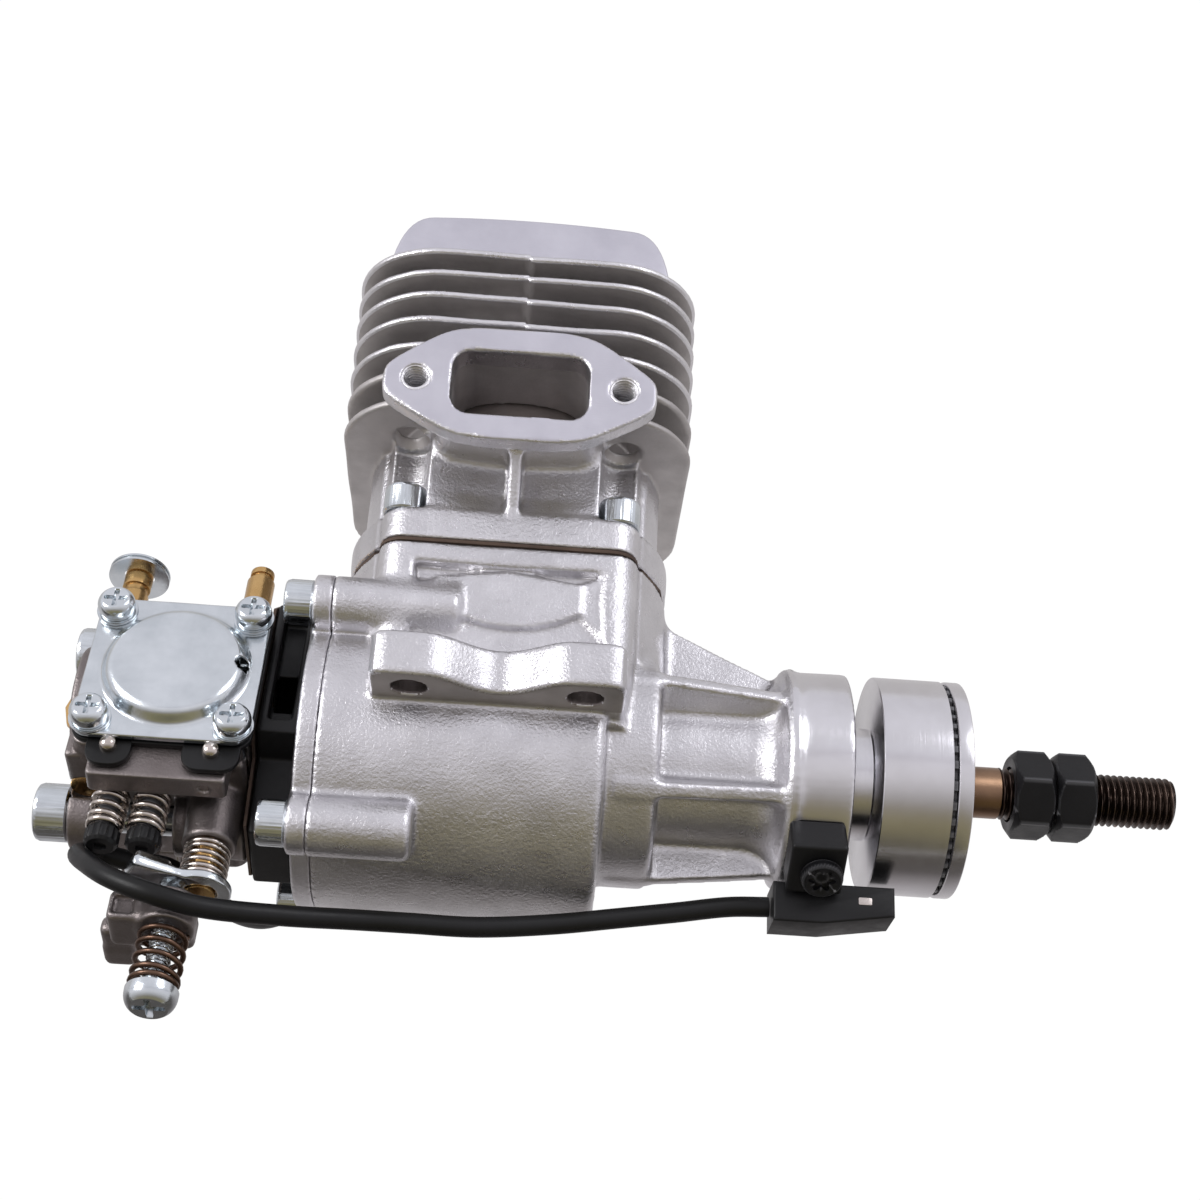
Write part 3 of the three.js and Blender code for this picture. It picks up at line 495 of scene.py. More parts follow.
def polygon_distance(u, v, outline):
    outline = np.array(outline, np.float32)
    best, inside = np.inf, False
    for (ax, ay), (bx, by) in zip(outline, np.roll(outline, -1, axis=0)):
        ex, ey = bx - ax, by - ay
        wx, wy = u - ax, v - ay
        t = np.clip((wx * ex + wy * ey) / (ex * ex + ey * ey + 1e-12), 0, 1)
        best = np.minimum(best, (wx - ex * t) ** 2 + (wy - ey * t) ** 2)
        inside = inside ^ (((ay > v) != (by > v))
                           & (u < (bx - ax) * (v - ay) / (by - ay + 1e-12) + ax))
    return np.where(inside, -np.sqrt(best), np.sqrt(best)).astype(np.float32)


def pushed(flat, along, low, high, soft):
    """The distance to a flat form thickened from low to high, its edges rounded."""
    across = flat + soft
    length = np.maximum(low - along, along - high) + soft
    outside = np.hypot(np.maximum(across, 0), np.maximum(length, 0))
    return np.minimum(np.maximum(across, length), 0) + outside - soft


def pick(axis, x, y, z):
    return {"x": (x, y, z), "y": (y, x, z), "z": (z, x, y)}[axis]


def corners(axis, low, high, lows, highs):
    return to_axis(low, *lows, axis).astype(float), to_axis(high, *highs, axis).astype(float)


def cone(axis, low, high, r_low, r_high, at=(0, 0), soft=0.0):
    slope = (r_high - r_low) / (high - low)
    square = math.hypot(1, slope)
    big = max(r_low, r_high)

    def distance(x, y, z):
        along, p, q = pick(axis, x, y, z)
        side = (np.hypot(p - at[0], q - at[1]) - r_low - slope * (along - low)) / square
        return pushed(side, along, low, high, soft)
    return (distance, *corners(axis, low, high, (at[0] - big, at[1] - big),
                               (at[0] + big, at[1] + big)))


def drum(axis, low, high, radius, at=(0, 0), soft=0.0):
    return cone(axis, low, high, radius, radius, at, soft)


def brick(x0, x1, y0, y1, z0, z1, soft=0.0):
    spans = ((x0, x1), (y0, y1), (z0, z1))

    def distance(x, y, z):
        d = [np.abs(p - (a + b) / 2) - ((b - a) / 2 - soft) for p, (a, b) in zip((x, y, z), spans)]
        outside = np.sqrt(sum(np.maximum(part, 0) ** 2 for part in d))
        return np.minimum(np.maximum(np.maximum(d[0], d[1]), d[2]), 0) + outside - soft
    return distance, np.array([x0, y0, z0], float), np.array([x1, y1, z1], float)


def prism(axis, outline, low, high, soft=0.0):
    outline = np.array(outline, float)

    def distance(x, y, z):
        along, p, q = pick(axis, x, y, z)
        return pushed(polygon_distance(p, q, outline), along, low, high, soft)
    return (distance, *corners(axis, low, high, outline.min(0), outline.max(0)))


def trimmed(form, edge, low, high):
    """A form where edge, a function of x, y and z, is below zero."""
    return (lambda x, y, z: np.maximum(form[0](x, y, z), edge(x, y, z)),
            np.array(low, float), np.array(high, float))


def spun(form, angle):
    """A form turned about the x axis."""
    distance, low, high = form
    c, s = math.cos(angle), math.sin(angle)
    y, z = (low[1:] + high[1:]) / 2
    half = math.hypot((high[1] - low[1]) / 2, (high[2] - low[2]) / 2)
    middle = np.array([c * y - s * z, s * y + c * z])
    return (lambda x, y, z: distance(x, c * y + s * z, -s * y + c * z),
            np.array([low[0], *(middle - half)]), np.array([high[0], *(middle + half)]))


class Casting:
    """Adds and cuts forms with soft joints, and turns the result into a mesh."""

    def __init__(self, low, high, step):
        self.step = step
        self.axes = [np.arange(a - 2 * step, b + 2.5 * step, step, dtype=np.float32)
                     for a, b in zip(low, high)]
        self.field = np.full([len(a) for a in self.axes], 9, np.float32)

    def blend(self, forms, k, sign):
        """Joins forms to the solid, or takes them out of it where the sign is -1."""
        margin = k + 4 * self.step
        for distance, low, high in forms:
            where = []
            for axis, a, b in zip(self.axes, low, high):
                first = max(0, int((a - margin - axis[0]) / self.step))
                last = min(len(axis), int((b + margin - axis[0]) / self.step) + 2)
                where.append(slice(first, max(first, last)))
            x, y, z = (axis[span] for axis, span in zip(self.axes, where))
            if min(len(x), len(y), len(z)) == 0:
                continue
            here = sign * self.field[tuple(where)]
            other = distance(x[:, None, None], y[None, :, None], z[None, None, :])
            near = np.minimum(here, other)
            if k:
                near = near - np.maximum(k - np.abs(here - other), 0) ** 2 / (4 * k)
            self.field[tuple(where)] = sign * near

    def add(self, *forms, k=0.0):
        self.blend(forms, k, 1)

    def cut(self, *forms, k=0.0):
        self.blend(forms, k, -1)

    def drill(self, axis, low, high, radius, places, k=0.0):
        self.cut(*(drum(axis, low, high, radius, at) for at in places), k=k)

    def waver(self, depth, size):
        """A slow unevenness of the whole skin, as a casting has."""
        x, y, z = np.meshgrid(*self.axes, indexing="ij", sparse=True)
        for _ in range(4):
            way = random.normal(size=3)
            way *= 2 * math.pi / size / np.linalg.norm(way)
            phase = random.uniform(0, 6.28)
            self.field += (depth / 3 * np.sin(x * way[0] + y * way[1] + z * way[2] + phase)
                           ).astype(np.float32)

    def mesh(self, tag=0):
        limit = 3 * self.step
        grid = openvdb.FloatGrid(limit)
        grid.copyFromArray(np.clip(self.field, -limit, limit).astype(np.float32))
        points, quads = grid.convertToQuads(0.0)
        origin = np.array([axis[0] for axis in self.axes])
        return outward(points.astype(float) * self.step + origin, [quads.astype(np.int64)], tag)


def tagged(mesh, *tests):
    """Gives faces another material where a test on their centre and normal holds."""
    (verts, faces, tag), = mesh
    tags = []
    for rows in faces:
        a, b, c = verts[rows[:, 0]], verts[rows[:, 1]], verts[rows[:, 2]]
        normal = np.cross(b - a, c - b)
        normal /= np.linalg.norm(normal, axis=1)[:, None] + 1e-12
        chosen = np.full(len(rows), tag)
        for number, test in enumerate(tests, start=1):
            chosen[test(verts[rows].mean(axis=1), normal)] = number
        tags.append(chosen)
    return [(verts, faces, tags)]


# ---- crankcase ------------------------------------------------------------------------------
DECK = 26.64
BARREL_DROP = 2.2                   # how far the barrel's centre is below the crank axis
WAIST_RADIUS, WAIST_HALF = 25, 14.5  # the round sides of the column and the base flange
COVER_BOLTS = ((16.4, 17.2), (16.4, -17.2), (-18.2, 17.2), (-18.2, -17.2))
BASE_BOLTS = [(x, z) for x in (-16.4, 16.4) for z in (-16.6, 16.6)]
BARREL_RADIUS, BOSS_RADIUS, BASE_HOLE, COVER_HOLE = 22, 4.3, 2.4, 2.3
RING_BACK, RING_FRONT, RING_RADIUS = 43, 52.8, 16.6
STEP_FRONT, STEP_RADIUS, NOSE_RADIUS = 24, 18, 12
LUG_X, LUG_Z = 12.5, 26
LUG_TOP, LUG_REACH, LUG_DIP, DIP_HALF = 6.8, 31, 5, 10.5
LUG_ROOM = 22.1                     # beyond this in z nothing lies under a lug
LUG_HOLES = [(x, z) for z in (LUG_Z, -LUG_Z) for x in (-LUG_X, LUG_X)]
BASE_OUTLINE = rounded_box(-19.6, 19.6, -20, 20, 4)


def waist(low, high, radius, half, soft=0.0):
    """A drum along y with flat faces so far from its axis in z."""
    return trimmed(drum("y", low, high, radius, soft=soft), lambda x, y, z: np.abs(z) - half,
                   (-radius, low, -half), (radius, high, half))


def lug_outline(side):
    """A bar whose outer face dips in the middle."""
    end = [(18.2, 17), (18.2, 29.2), (17.4, 30.6), (16, LUG_REACH)]
    dip = [(x, LUG_REACH - LUG_DIP * (1 + math.cos(math.pi * x / DIP_HALF)) / 2)
           for x in np.linspace(-DIP_HALF, DIP_HALF, 25)]
    return [(x, side * z) for x, z in [*((-x, z) for x, z in end), *dip, *end[::-1]]]


def gusset(angle, rear_height):
    outline = [(STEP_FRONT - 6, 9), (RING_BACK + 2, 9), (RING_BACK + 2, RING_RADIUS - 0.6),
               (RING_BACK - 1, RING_RADIUS - 0.6), (STEP_FRONT, rear_height),
               (STEP_FRONT - 6, rear_height)]
    return spun(prism("z", outline, -1.15, 1.15, 0.5), angle)


def from_lug_hole(points):
    return np.hypot(np.abs(points[:, 0]) - LUG_X, np.abs(points[:, 2]) - LUG_Z)


def make_crankcase():
    case = Casting((-25.3, -25, -31), (52.8, 26.4, 31), 0.44)
    case.add(drum("x", -28, 16, BARREL_RADIUS, (-BARREL_DROP, 0), 1.6))
    case.add(drum("x", 8, STEP_FRONT, STEP_RADIUS, soft=1.2), k=1.0)
    case.add(drum("x", 18, 46, NOSE_RADIUS), k=1.2)
    case.add(drum("x", RING_BACK, RING_FRONT, RING_RADIUS, soft=0.5), k=0.8)
    case.add(cone("x", 39, RING_BACK + 1, 11, 16.2), k=2.0)
    for number in range(6):
        case.add(gusset(number * math.pi / 3, 24.6 if number == 0 else STEP_RADIUS), k=1.3)
    case.add(prism("y", BASE_OUTLINE, -1, DECK, 0.25), k=0.6)
    case.add(waist(4, DECK, WAIST_RADIUS, WAIST_HALF, 0.3), k=2.0)
    # The front of the column: a band under the deck, two wedge pockets and a plain
    # lens-shaped pad, over a hollow that runs down to the lug.
    for side in (1, -1):
        recess = [(-13.6, 7.4), (13.6, 7.4), (15, 9), (14, 23.1), (4, 23.2), (-4, 23.2),
                  (-13.4, 23.1), (-14.6, 9)]
        low, high = sorted((side * 19.0, side * 23))
        case.cut(prism("z", recess, low, high), k=0.9)
        if side > 0:
            arc = [(0.8 + 19.5 * math.sin(t), 32.8 - 19.5 * math.cos(t))
                   for t in np.linspace(0.57, -0.6, 11)]
            for x, tip in ((-1, -13.8), (1, 15.0)):
                pocket = [(tip, 23.3), (4.2 * x, 22.9), (11.2 * x, 21.0), (12.8 * x, 14.5)]
                case.cut(prism("z", pocket, 18.0, 23), k=0.7)
            pad = [(-10.3, 21.2), (0.3, 22.7), (11.4, 21.2), *arc]
            case.add(prism("z", pad, 17, 19.95, 0.35), k=0.5)
            case.add(prism("z", [(11.2, 21.4), (14.6, 23.4), (15, 12), (11.2, 16)], 17, 19.5),
                     k=0.8)
        case.add(prism("y", lug_outline(side), 0, LUG_TOP, 0.7), k=0.8)
    for y, z in COVER_BOLTS:
        front = -6.4 if y > 0 else -10.7
        case.add(drum("x", -28, front, BOSS_RADIUS, (y, z), 1.2), k=1.2)
    case.waver(0.05, 11)
    for low, high in ((-34, -LUG_ROOM), (LUG_ROOM, 34)):
        case.cut(brick(-18.6, 18.6, -6, 0, low, high))
    case.cut(drum("x", -26, 14.6, 19), drum("x", 10, 23.4, 14.3), drum("x", 20, 44, 8.2),
             drum("x", RING_BACK - 1.2, RING_FRONT + 1, 13.3), drum("y", 0, DECK + 1, 18))
    case.cut(brick(-40, 60, DECK, DECK + 4, -40, 40))
    case.cut(brick(-30, -25.3, -40, 40, -40, 40), k=0.25)
    case.drill("x", -26, -18.9, COVER_HOLE, COVER_BOLTS)
    case.drill("y", -1, LUG_TOP + 1, 2.6, LUG_HOLES, k=0.25)
    case.drill("y", 16.6, DECK + 1, BASE_HOLE, BASE_BOLTS)
    mesh = tagged(
        case.mesh(),
        lambda c, n: (np.abs(c[:, 2]) < 18) & (c[:, 1] < 1) & (c[:, 0] < 16),
        lambda c, n: (c[:, 0] > RING_BACK + 0.6) & (np.hypot(c[:, 1], c[:, 2]) > 13),
        lambda c, n: ((np.abs(c[:, 2]) > 22.0) & (n[:, 1] < -0.9) & (np.abs(c[:, 1]) < 0.2))
        & (from_lug_hole(c) > 2.7),
        # Faces in and round the lug holes take the dark die-cast look: painted shade in the holes.
        lambda c, n: from_lug_hole(c) < 2.7)
    piece("crankcase_casting", mesh, "engine", ("cast", "blasted", "turned", "lug", "die_cast"),
          "crankcase", sharp=None)


make_crankcase()

# ---- cylinder -------------------------------------------------------------------------------
FIN_COUNT, FIN_HALF, FIN_CORNER, FIN_THICKNESS = 7, 27.3, 14, 1.5
FIN_FIRST, FIN_PITCH, FIN_CLOSING = 46.9, 5.3, 0.115
CAST_FIN_HALF, PLATE_HALF, FIN_INNER = 0.6, 0.85, 17.8
SEAM_DROP = 0.28                    # the step between the fins' two halves
EXHAUST_FACE, EXHAUST_Y = 31, 48.5
EXHAUST_BOLTS = ((-15.7, EXHAUST_Y), (15.7, EXHAUST_Y))
BASE_LOW, BASE_HIGH, BORE, BARREL_WALL = 27.26, 32.6, 16, 19.5
HEAD_TOP = 87.8
PLATE_PLACES = (-18, -11, -4, 4, 11, 18)


def fin_level(i):
    """The fins come a little closer together towards the head."""
    return FIN_FIRST + FIN_PITCH * i - FIN_CLOSING * i * i


TOP_FIN = fin_level(FIN_COUNT - 1)


def exhaust_outline():
    """Six straight sides and two short ends, with soft corners."""
    corners = [(-9.4, -9.8), (9.4, -9.8), (20.6, -3.2), (20.6, 2.2), (10.2, 9.8), (-10.2, 9.8),
               (-20.6, 2.2), (-20.6, -3.2)]
    points = np.concatenate([np.linspace(a, b, 12, endpoint=False)
                             for a, b in zip(corners, corners[1:] + corners[:1])])
    for _ in range(8):              # takes the edge off the corners
        points = (np.roll(points, 1, axis=0) + 2 * points + np.roll(points, -1, axis=0)) / 4
    return points + (0, EXHAUST_Y)


def make_cylinder():
    base = Casting((-27.4, 20, -27.4), (27.4, 60, 31), 0.4)
    base.add(prism("y", BASE_OUTLINE, BASE_LOW, BASE_HIGH, 0.5))
    base.add(waist(BASE_LOW, BASE_HIGH, WAIST_RADIUS, WAIST_HALF, 0.5), k=2.0)
    base.add(prism("y", rounded_box(-19.2, 19.2, -19.6, 19.6, 4.5), BASE_HIGH - 2, 47), k=0.7)
    base.add(waist(BASE_HIGH - 2, 47, 23.4, 11), k=3.0)
    for side in (1, -1):
        base.cut(drum("y", BASE_HIGH + 0.6, 44, 38, (0, side * 56.2), 3), k=1.2)
    base.add(drum("y", 46, 60, BARREL_WALL))
    half_fin = rounded_box(-FIN_HALF, FIN_HALF, -FIN_HALF, FIN_HALF, FIN_CORNER, 14)
    for level in (fin_level(0), fin_level(1)):
        for side, drop in ((-1, 0.0), (1, SEAM_DROP)):
            outline = [(x if x * side > 0 else 0.0, z) for x, z in half_fin]
            base.add(prism("y", outline, level - CAST_FIN_HALF - drop,
                           level + CAST_FIN_HALF - drop, 0.35), k=0.25)
    rib = [(BASE_HIGH - 0.5, 16), (BASE_HIGH - 0.5, 20), (41.6, 24.6), (44, 24.6), (44, 16)]
    base.add(prism("x", rib, -0.95, 0.95, 0.35), k=0.7)
    neck = rounded_box(-12.8, 12.8, EXHAUST_Y - 7, EXHAUST_Y + 8, 4)
    base.add(prism("z", neck, 12, EXHAUST_FACE - 1, 0.5), k=1.8)
    base.add(prism("z", exhaust_outline(), EXHAUST_FACE - 3.2, EXHAUST_FACE, 0.35), k=0.8)
    for x, z in BASE_BOLTS:
        at = (math.copysign(16.55, x), math.copysign(17, z))
        base.cut(drum("y", BASE_HIGH, 45.4, 3.95, at, 0.2), k=0.7)
        base.cut(cone("y", 45, 48.2, 3.4, 1.6, at), k=0.3)
    base.waver(0.05, 9)
    base.cut(prism("z", rounded_box(-10.3, 10.3, EXHAUST_Y - 5.5, EXHAUST_Y + 5.5, 2.8),
                   8, EXHAUST_FACE + 1), k=0.2)
    base.drill("z", EXHAUST_FACE - 10, EXHAUST_FACE + 1, 2.1, EXHAUST_BOLTS, k=0.2)
    base.cut(brick(-30, 30, 10, BASE_LOW, -30, 30))
    base.add(drum("y", 21, BASE_LOW + 2, 17.6))
    base.cut(drum("y", 15, 62, BORE))
    base.drill("y", BASE_LOW - 1, BASE_HIGH + 1, BASE_HOLE, BASE_BOLTS)
    mesh = tagged(
        base.mesh(),
        # Faces among the fins take the darker fin look: painted shade between the fins.
        lambda c, n: (c[:, 1] > 45.8) & ((c[:, 2] < 26.6) | (np.abs(c[:, 0]) > 21)),
        lambda c, n: (c[:, 2] > EXHAUST_FACE - 0.35) & (n[:, 2] > 0.9),
        lambda c, n: (c[:, 1] < BASE_HIGH + 0.3) & (c[:, 1] > BASE_LOW - 0.2))
    # The barrel wall between the fins takes the darker fin look: painted shade.
    barrel = lathe("y", rounded([
        (59, BORE), (59, BARREL_WALL), (TOP_FIN - 1, BARREL_WALL), (TOP_FIN - 1, 21),
        (TOP_FIN + 2, 19), (TOP_FIN + 4.5, 12), (TOP_FIN + 7.5, 9), (TOP_FIN + 7.5, 5),
        (76.8, 5), (75.6, 8), (72.4, 13.5), (70, BORE), (59, BORE)], 0.6)[:-1], 72,
        ring=True, tag=1)
    for i in range(2, FIN_COUNT):
        mesh += make_fin(fin_level(i), i)
    for z in PLATE_PLACES:
        mesh += slab("z", dense(plate_outline(z), 1.2), z - PLATE_HALF, z + PLATE_HALF, 0.5,
                     tag=4)
    for at in EXHAUST_BOLTS:
        mesh += thread("z", EXHAUST_FACE - 9.5, EXHAUST_FACE - 0.25, 2.0, 0.7, 0.33, at, 32,
                       inner=2.3, tag=3)
    piece("cylinder_casting", mesh + barrel, "engine",
          ("cast", "fin", "milled", "cast", "milled"), "cylinder", sharp=None)


def make_fin(level, number):
    """A rounded square cooling fin; the two halves of the die meet in a small step."""
    outline = dense(rounded_box(-FIN_HALF, FIN_HALF, -FIN_HALF, FIN_HALF, FIN_CORNER, 14), 1.1)
    seam = 0.06
    keep = [p for p in outline if abs(p[0]) > 0.5]
    extra = [(x, z) for z in (-FIN_HALF, FIN_HALF) for x in (-seam, seam)]
    outline = np.array(sorted(keep + [np.array(p) for p in extra],
                              key=lambda p: math.atan2(p[1], p[0])))
    half = FIN_THICKNESS / 2
    edge = 0.7 * half               # the fin is thinner at its rim
    profile = [(-half, 9.6), (-edge, 0.45), (-edge * 0.8, 0.13), (-edge * 0.35, 0.0),
               (edge * 0.35, 0.0), (edge * 0.8, 0.13), (edge, 0.45), (half, 9.6)]
    drop = np.where(outline[:, 0] > 0, -SEAM_DROP, 0.0)
    bearing = np.arctan2(outline[:, 1], outline[:, 0])
    wander = (0.09 * np.sin(3 * bearing + number * 2.1) + 0.05 * np.sin(11 * bearing + number))
    ragged = 0.05 * np.sin(outline[:, 0] * 2.3 + number) * np.sin(outline[:, 1] * 1.9 + 2)
    rows = []
    for rise, by in profile:
        flat = inset(outline, by)
        if by > 5:                  # the inner edge, a circle inside the barrel's wall
            flat = outline / np.linalg.norm(outline, axis=1)[:, None] * FIN_INNER
        lift = drop + wander * (1 if by < 5 else 0.3) + (ragged if by < 0.2 else 0)
        rows.append(np.stack([flat[:, 0], level + rise + lift, flat[:, 1]], axis=1))
    (verts, faces, _), = outward(np.concatenate(rows), strip(len(rows), len(outline), True))
    centre = verts[faces[0]].mean(axis=1)
    reach = np.abs(centre[:, [0, 2]]).max(axis=1)
    corner = np.hypot(*(np.maximum(np.abs(centre[:, [0, 2]]) - (FIN_HALF - FIN_CORNER), 0)).T)
    # The rim keeps the cast look; the fin's faces take the darker fin look, painted shade between
    # the fins.
    rim = (reach > FIN_HALF - 0.4) | (corner > FIN_CORNER - 0.4)
    return [(verts, faces, [np.where(rim, 0, 1)])]


def plate_outline(z):
    """A head plate: a flat arch standing on the top fin."""
    top = 15.8 + (20 - abs(z)) * 0.25
    foot = top + 5.2
    ends = [(-foot - 1.5, TOP_FIN), (-top, HEAD_TOP - 0.6), (top, HEAD_TOP - 0.6),
            (foot + 1.5, TOP_FIN)]
    bends = [(-foot - 0.4, HEAD_TOP - 0.9), (0, HEAD_TOP + 0.6), (foot + 0.4, HEAD_TOP - 0.9)]
    points = [curve(*np.array(bend, float), t) for bend in zip(ends, bends, ends[1:])
              for t in np.linspace(0, 1, 12)[:-1]]
    return np.array([*points, ends[-1]])


make_cylinder()

# ---- rear cover and insulator ---------------------------------------------------------------
COVER_BACK, COVER_FRONT = -28.2, -25.33
TILT = math.radians(16.34)          # the carburettor's turn about the crank axis
CARB = spin_x(-TILT)                # from the carburettor's frame to the CAD frame
THROAT = (1.0, 4.5)                 # throat centre in the carburettor's frame
CARB_BOLTS, CARB_HOLE = ((-14.3, -0.8), (16.3, -0.8)), 2.8
CARB_FRONT, CARB_BACK = -61.3, -35.6
THROTTLE_AT, CHOKE_AT, IDLE_AT = ((x, THROAT[1]) for x in (-39.8, -59.2, -43.5))


def in_engine(v, w):
    """Where a point of the carburettor's frame lies across the crank axis."""
    return (v * math.cos(TILT) + w * math.sin(TILT), w * math.cos(TILT) - v * math.sin(TILT))


def in_carb(y, z):
    return (y * math.cos(TILT) - z * math.sin(TILT), y * math.sin(TILT) + z * math.cos(TILT))


def carb_piece(name, mesh, body, looks, node, sharp=30):
    """A piece whose mesh is in the carburettor's frame."""
    piece(name, moved(mesh, CARB), body, looks, node, sharp=sharp)


def cap_screw(axis, top, seat, tip, head, shank, at=(0, 0), recess="hex"):
    """A socket-head screw with a knurled head."""
    s = math.copysign(1, top - seat)
    deep = top - s * 0.55 * abs(top - seat)
    hole = head * (0.56 if recess == "hex" else 0.66)
    return lathe(axis, [
        (tip, 0.0), (tip, shank * 0.75), (tip + s * 0.5, shank), (seat, shank),
        (seat, head * 0.94), (seat + s * 0.25, head), (seat + s * 0.3, head, "knurl"),
        (top - s * 0.75, head, "knurl"), (top - s * 0.7, head * 0.99),
        (top - s * 0.25, head * 0.95), (top - s * 0.05, head * 0.88), (top, head * 0.8),
        (top, hole * 1.2),
        (top - s * 0.12, hole * 1.1), (top - s * 0.3, hole, recess), (deep, hole, recess),
        (deep - s * 0.2, hole * 0.5), (deep - s * 0.2, 0.0)], 108, at)


def pan_screw(axis, top, seat, head, at=(0, 0)):
    """The domed head of a cross-recess screw."""
    s = math.copysign(1, top - seat)
    tall = abs(top - seat)
    rows = [(seat, 0.0), (seat, head * 0.95), (seat + s * 0.1, head)]
    last = math.radians(57)
    for a in np.linspace(0.14, last, 8):
        rows.append((top - s * tall * 0.8 * (1 - math.sin(a) / math.sin(last)),
                     head * math.cos(a) ** 0.55))
    arm = head * 0.59
    rows += [(top, arm * 1.04), (top - s * 0.1, arm, "cross"),
             (top - s * 0.4 * tall, arm * 0.85, "cross"),
             (top - s * 0.55 * tall, arm * 0.25), (top - s * 0.55 * tall, 0.0)]
    return lathe(axis, rows, 96, at)


def make_rear_cover():
    cover = Casting((COVER_BACK, -25, -22.5), (COVER_FRONT, 23.4, 22.5), 0.35)
    beyond = COVER_FRONT + 2
    cover.add(drum("x", COVER_BACK, beyond, BARREL_RADIUS, (-BARREL_DROP, 0), 0.5))
    cover.add(brick(COVER_BACK, beyond, 0, 20.6, -16.5, 16.5, 0.5), k=1)
    for at in COVER_BOLTS:
        cover.add(drum("x", COVER_BACK, beyond, BOSS_RADIUS, at, 0.5), k=1)
    cover.cut(brick(COVER_FRONT, beyond + 1, -30, 30, -30, 30), k=0.2)
    for radius, places in ((7.8, [in_engine(*THROAT)]), (COVER_HOLE, COVER_BOLTS),
                           (CARB_HOLE, [in_engine(*at) for at in CARB_BOLTS])):
        cover.drill("x", COVER_BACK - 1, COVER_FRONT + 1, radius, places)
    piece("rear_cover_casting", cover.mesh(), "engine", "cast", "rear_cover", sharp=None)


def make_insulator():
    low, high = -20, 20.4
    outline = [(low, -7), (low, 5.5), (-9, 8.5), (-8, 14), (high - 4, 14), (high, 10),
               (high, -7), (high - 3, -10.5), (low + 3, -10.5)]
    front, back = CARB_BACK + 1, COVER_BACK - 0.3
    block = Casting((front, low, -10.5), (back, high, 14), 0.3)
    block.add(prism("x", outline, front, back, 0.5))
    block.cut(brick(front + 1.3, back - 1.3, -5.6, high - 6, 11.4, 16, 0.4), k=0.3)
    for radius, places in ((7.4, [THROAT]), (CARB_HOLE, CARB_BOLTS),
                           (4.1, [in_carb(*at) for at in COVER_BOLTS])):
        block.drill("x", front - 1, back + 1, radius, places)
    carb_piece("insulator", block.mesh(), "engine", "plastic", "insulator_block", None)


make_rear_cover()
make_insulator()

# ---- screws ---------------------------------------------------------------------------------
# Each is its top, seat and tip, and the radius of its head and shank.
BASE_SCREW = (36.9, 32.4, 17, 3.3, 2)
COVER_SCREW = (COVER_BACK - 4.3, COVER_BACK - 0.05, -19.2, 3.4, 2)
CARB_SCREW = (CARB_FRONT - 5.3, CARB_FRONT - 0.3, -26, 4.3, 2.4)
for name, axis, size, places in (("cylinder", "y", BASE_SCREW, BASE_BOLTS),
                                 ("rear_cover", "x", COVER_SCREW, COVER_BOLTS)):
    for number, at in enumerate(places, start=1):
        piece(f"{name}_screw_{number}", cap_screw(axis, *size, at), "engine", "zinc",
              f"{name}_bolt_{number}")
for place, at in zip(("lower", "upper"), CARB_BOLTS):
    carb_piece(f"carb_screw_{place}", cap_screw("x", *CARB_SCREW, at), "engine", "zinc",
               f"carb_bolt_{place}")

# ---- rotating assembly ----------------------------------------------------------------------
HUB_COLLAR, HUB_BACK, HUB_FACE, HUB_RADIUS = 8.6, 56.9, 67.7, 16.6
WASHER_BACK, WASHER_FRONT = 68.0, 70.3
SHAFT_TIP, THREAD_START, THREAD_RADIUS, THREAD_PITCH = 104.5, 76.5, 4.0, 1.0
THROW = 12.5
NUT_HALF, NUT_LENGTH = 6.0, 6.0     # half the width across a nut's flats, and its length


def make_shaft():
    web = lathe("x", rounded([(5.8, 0), (5.8, 17), (13.8, 17), (13.8, 6), (24, 6), (24.5, 5),
                              (WASHER_FRONT - 1, 5), (WASHER_FRONT - 1, THREAD_RADIUS - 0.05),
                              (THREAD_START + 1, THREAD_RADIUS - 0.05), (THREAD_START + 1, 0)],
                             0.3), 72)
    pin = lathe("x", [(-6, 0), (-6, 3.7), (-5.7, 4), (6.5, 4), (6.5, 0)], 40, (THROW, 0))
    screw = thread("x", THREAD_START, SHAFT_TIP - 0.1, THREAD_RADIUS, THREAD_PITCH, 0.6,
                   sides=56, tag=1)
    piece("crankshaft_turned", web + pin + screw, "crank", ("bronzed", "thread"),
          "crankshaft")


def make_hub():
    rim = HUB_FACE - 0.5
    hub = lathe("x", rounded([
        (RING_FRONT + 0.3, 5.3), (RING_FRONT + 0.3, HUB_COLLAR), (HUB_BACK, HUB_COLLAR),
        (HUB_BACK, HUB_RADIUS), (rim, HUB_RADIUS)], 0.4) + [
        (rim, HUB_RADIUS - 1.6), (rim + 0.1, HUB_RADIUS - 1.6), (rim + 0.1, 5.3)], 128, ring=True)
    # The serrated ring between hub rim and washer is black: painted shade for the dark gaps of the
    # serrations.
    hub += lathe("x", [
        (rim - 0.4, 6), (rim - 0.4, HUB_RADIUS - 1.3), (rim + 0.05, HUB_RADIUS - 1.05, "teeth"),
        (HUB_FACE + 0.2, HUB_RADIUS - 1.05, "teeth"), (HUB_FACE + 0.2, 6)], 528, ring=True, tag=1)
    piece("hub", hub, "crank", ("turned", "black_steel"), "drive_hub")
    washer = lathe("x", rounded([
        (WASHER_BACK + 0.8, 4.3), (WASHER_BACK, 5.3), (WASHER_BACK, HUB_RADIUS),
        (WASHER_FRONT, HUB_RADIUS), (WASHER_FRONT, 4.3)], 0.35), 128, ring=True)
    piece("washer", washer, "crank", "turned", "prop_washer")


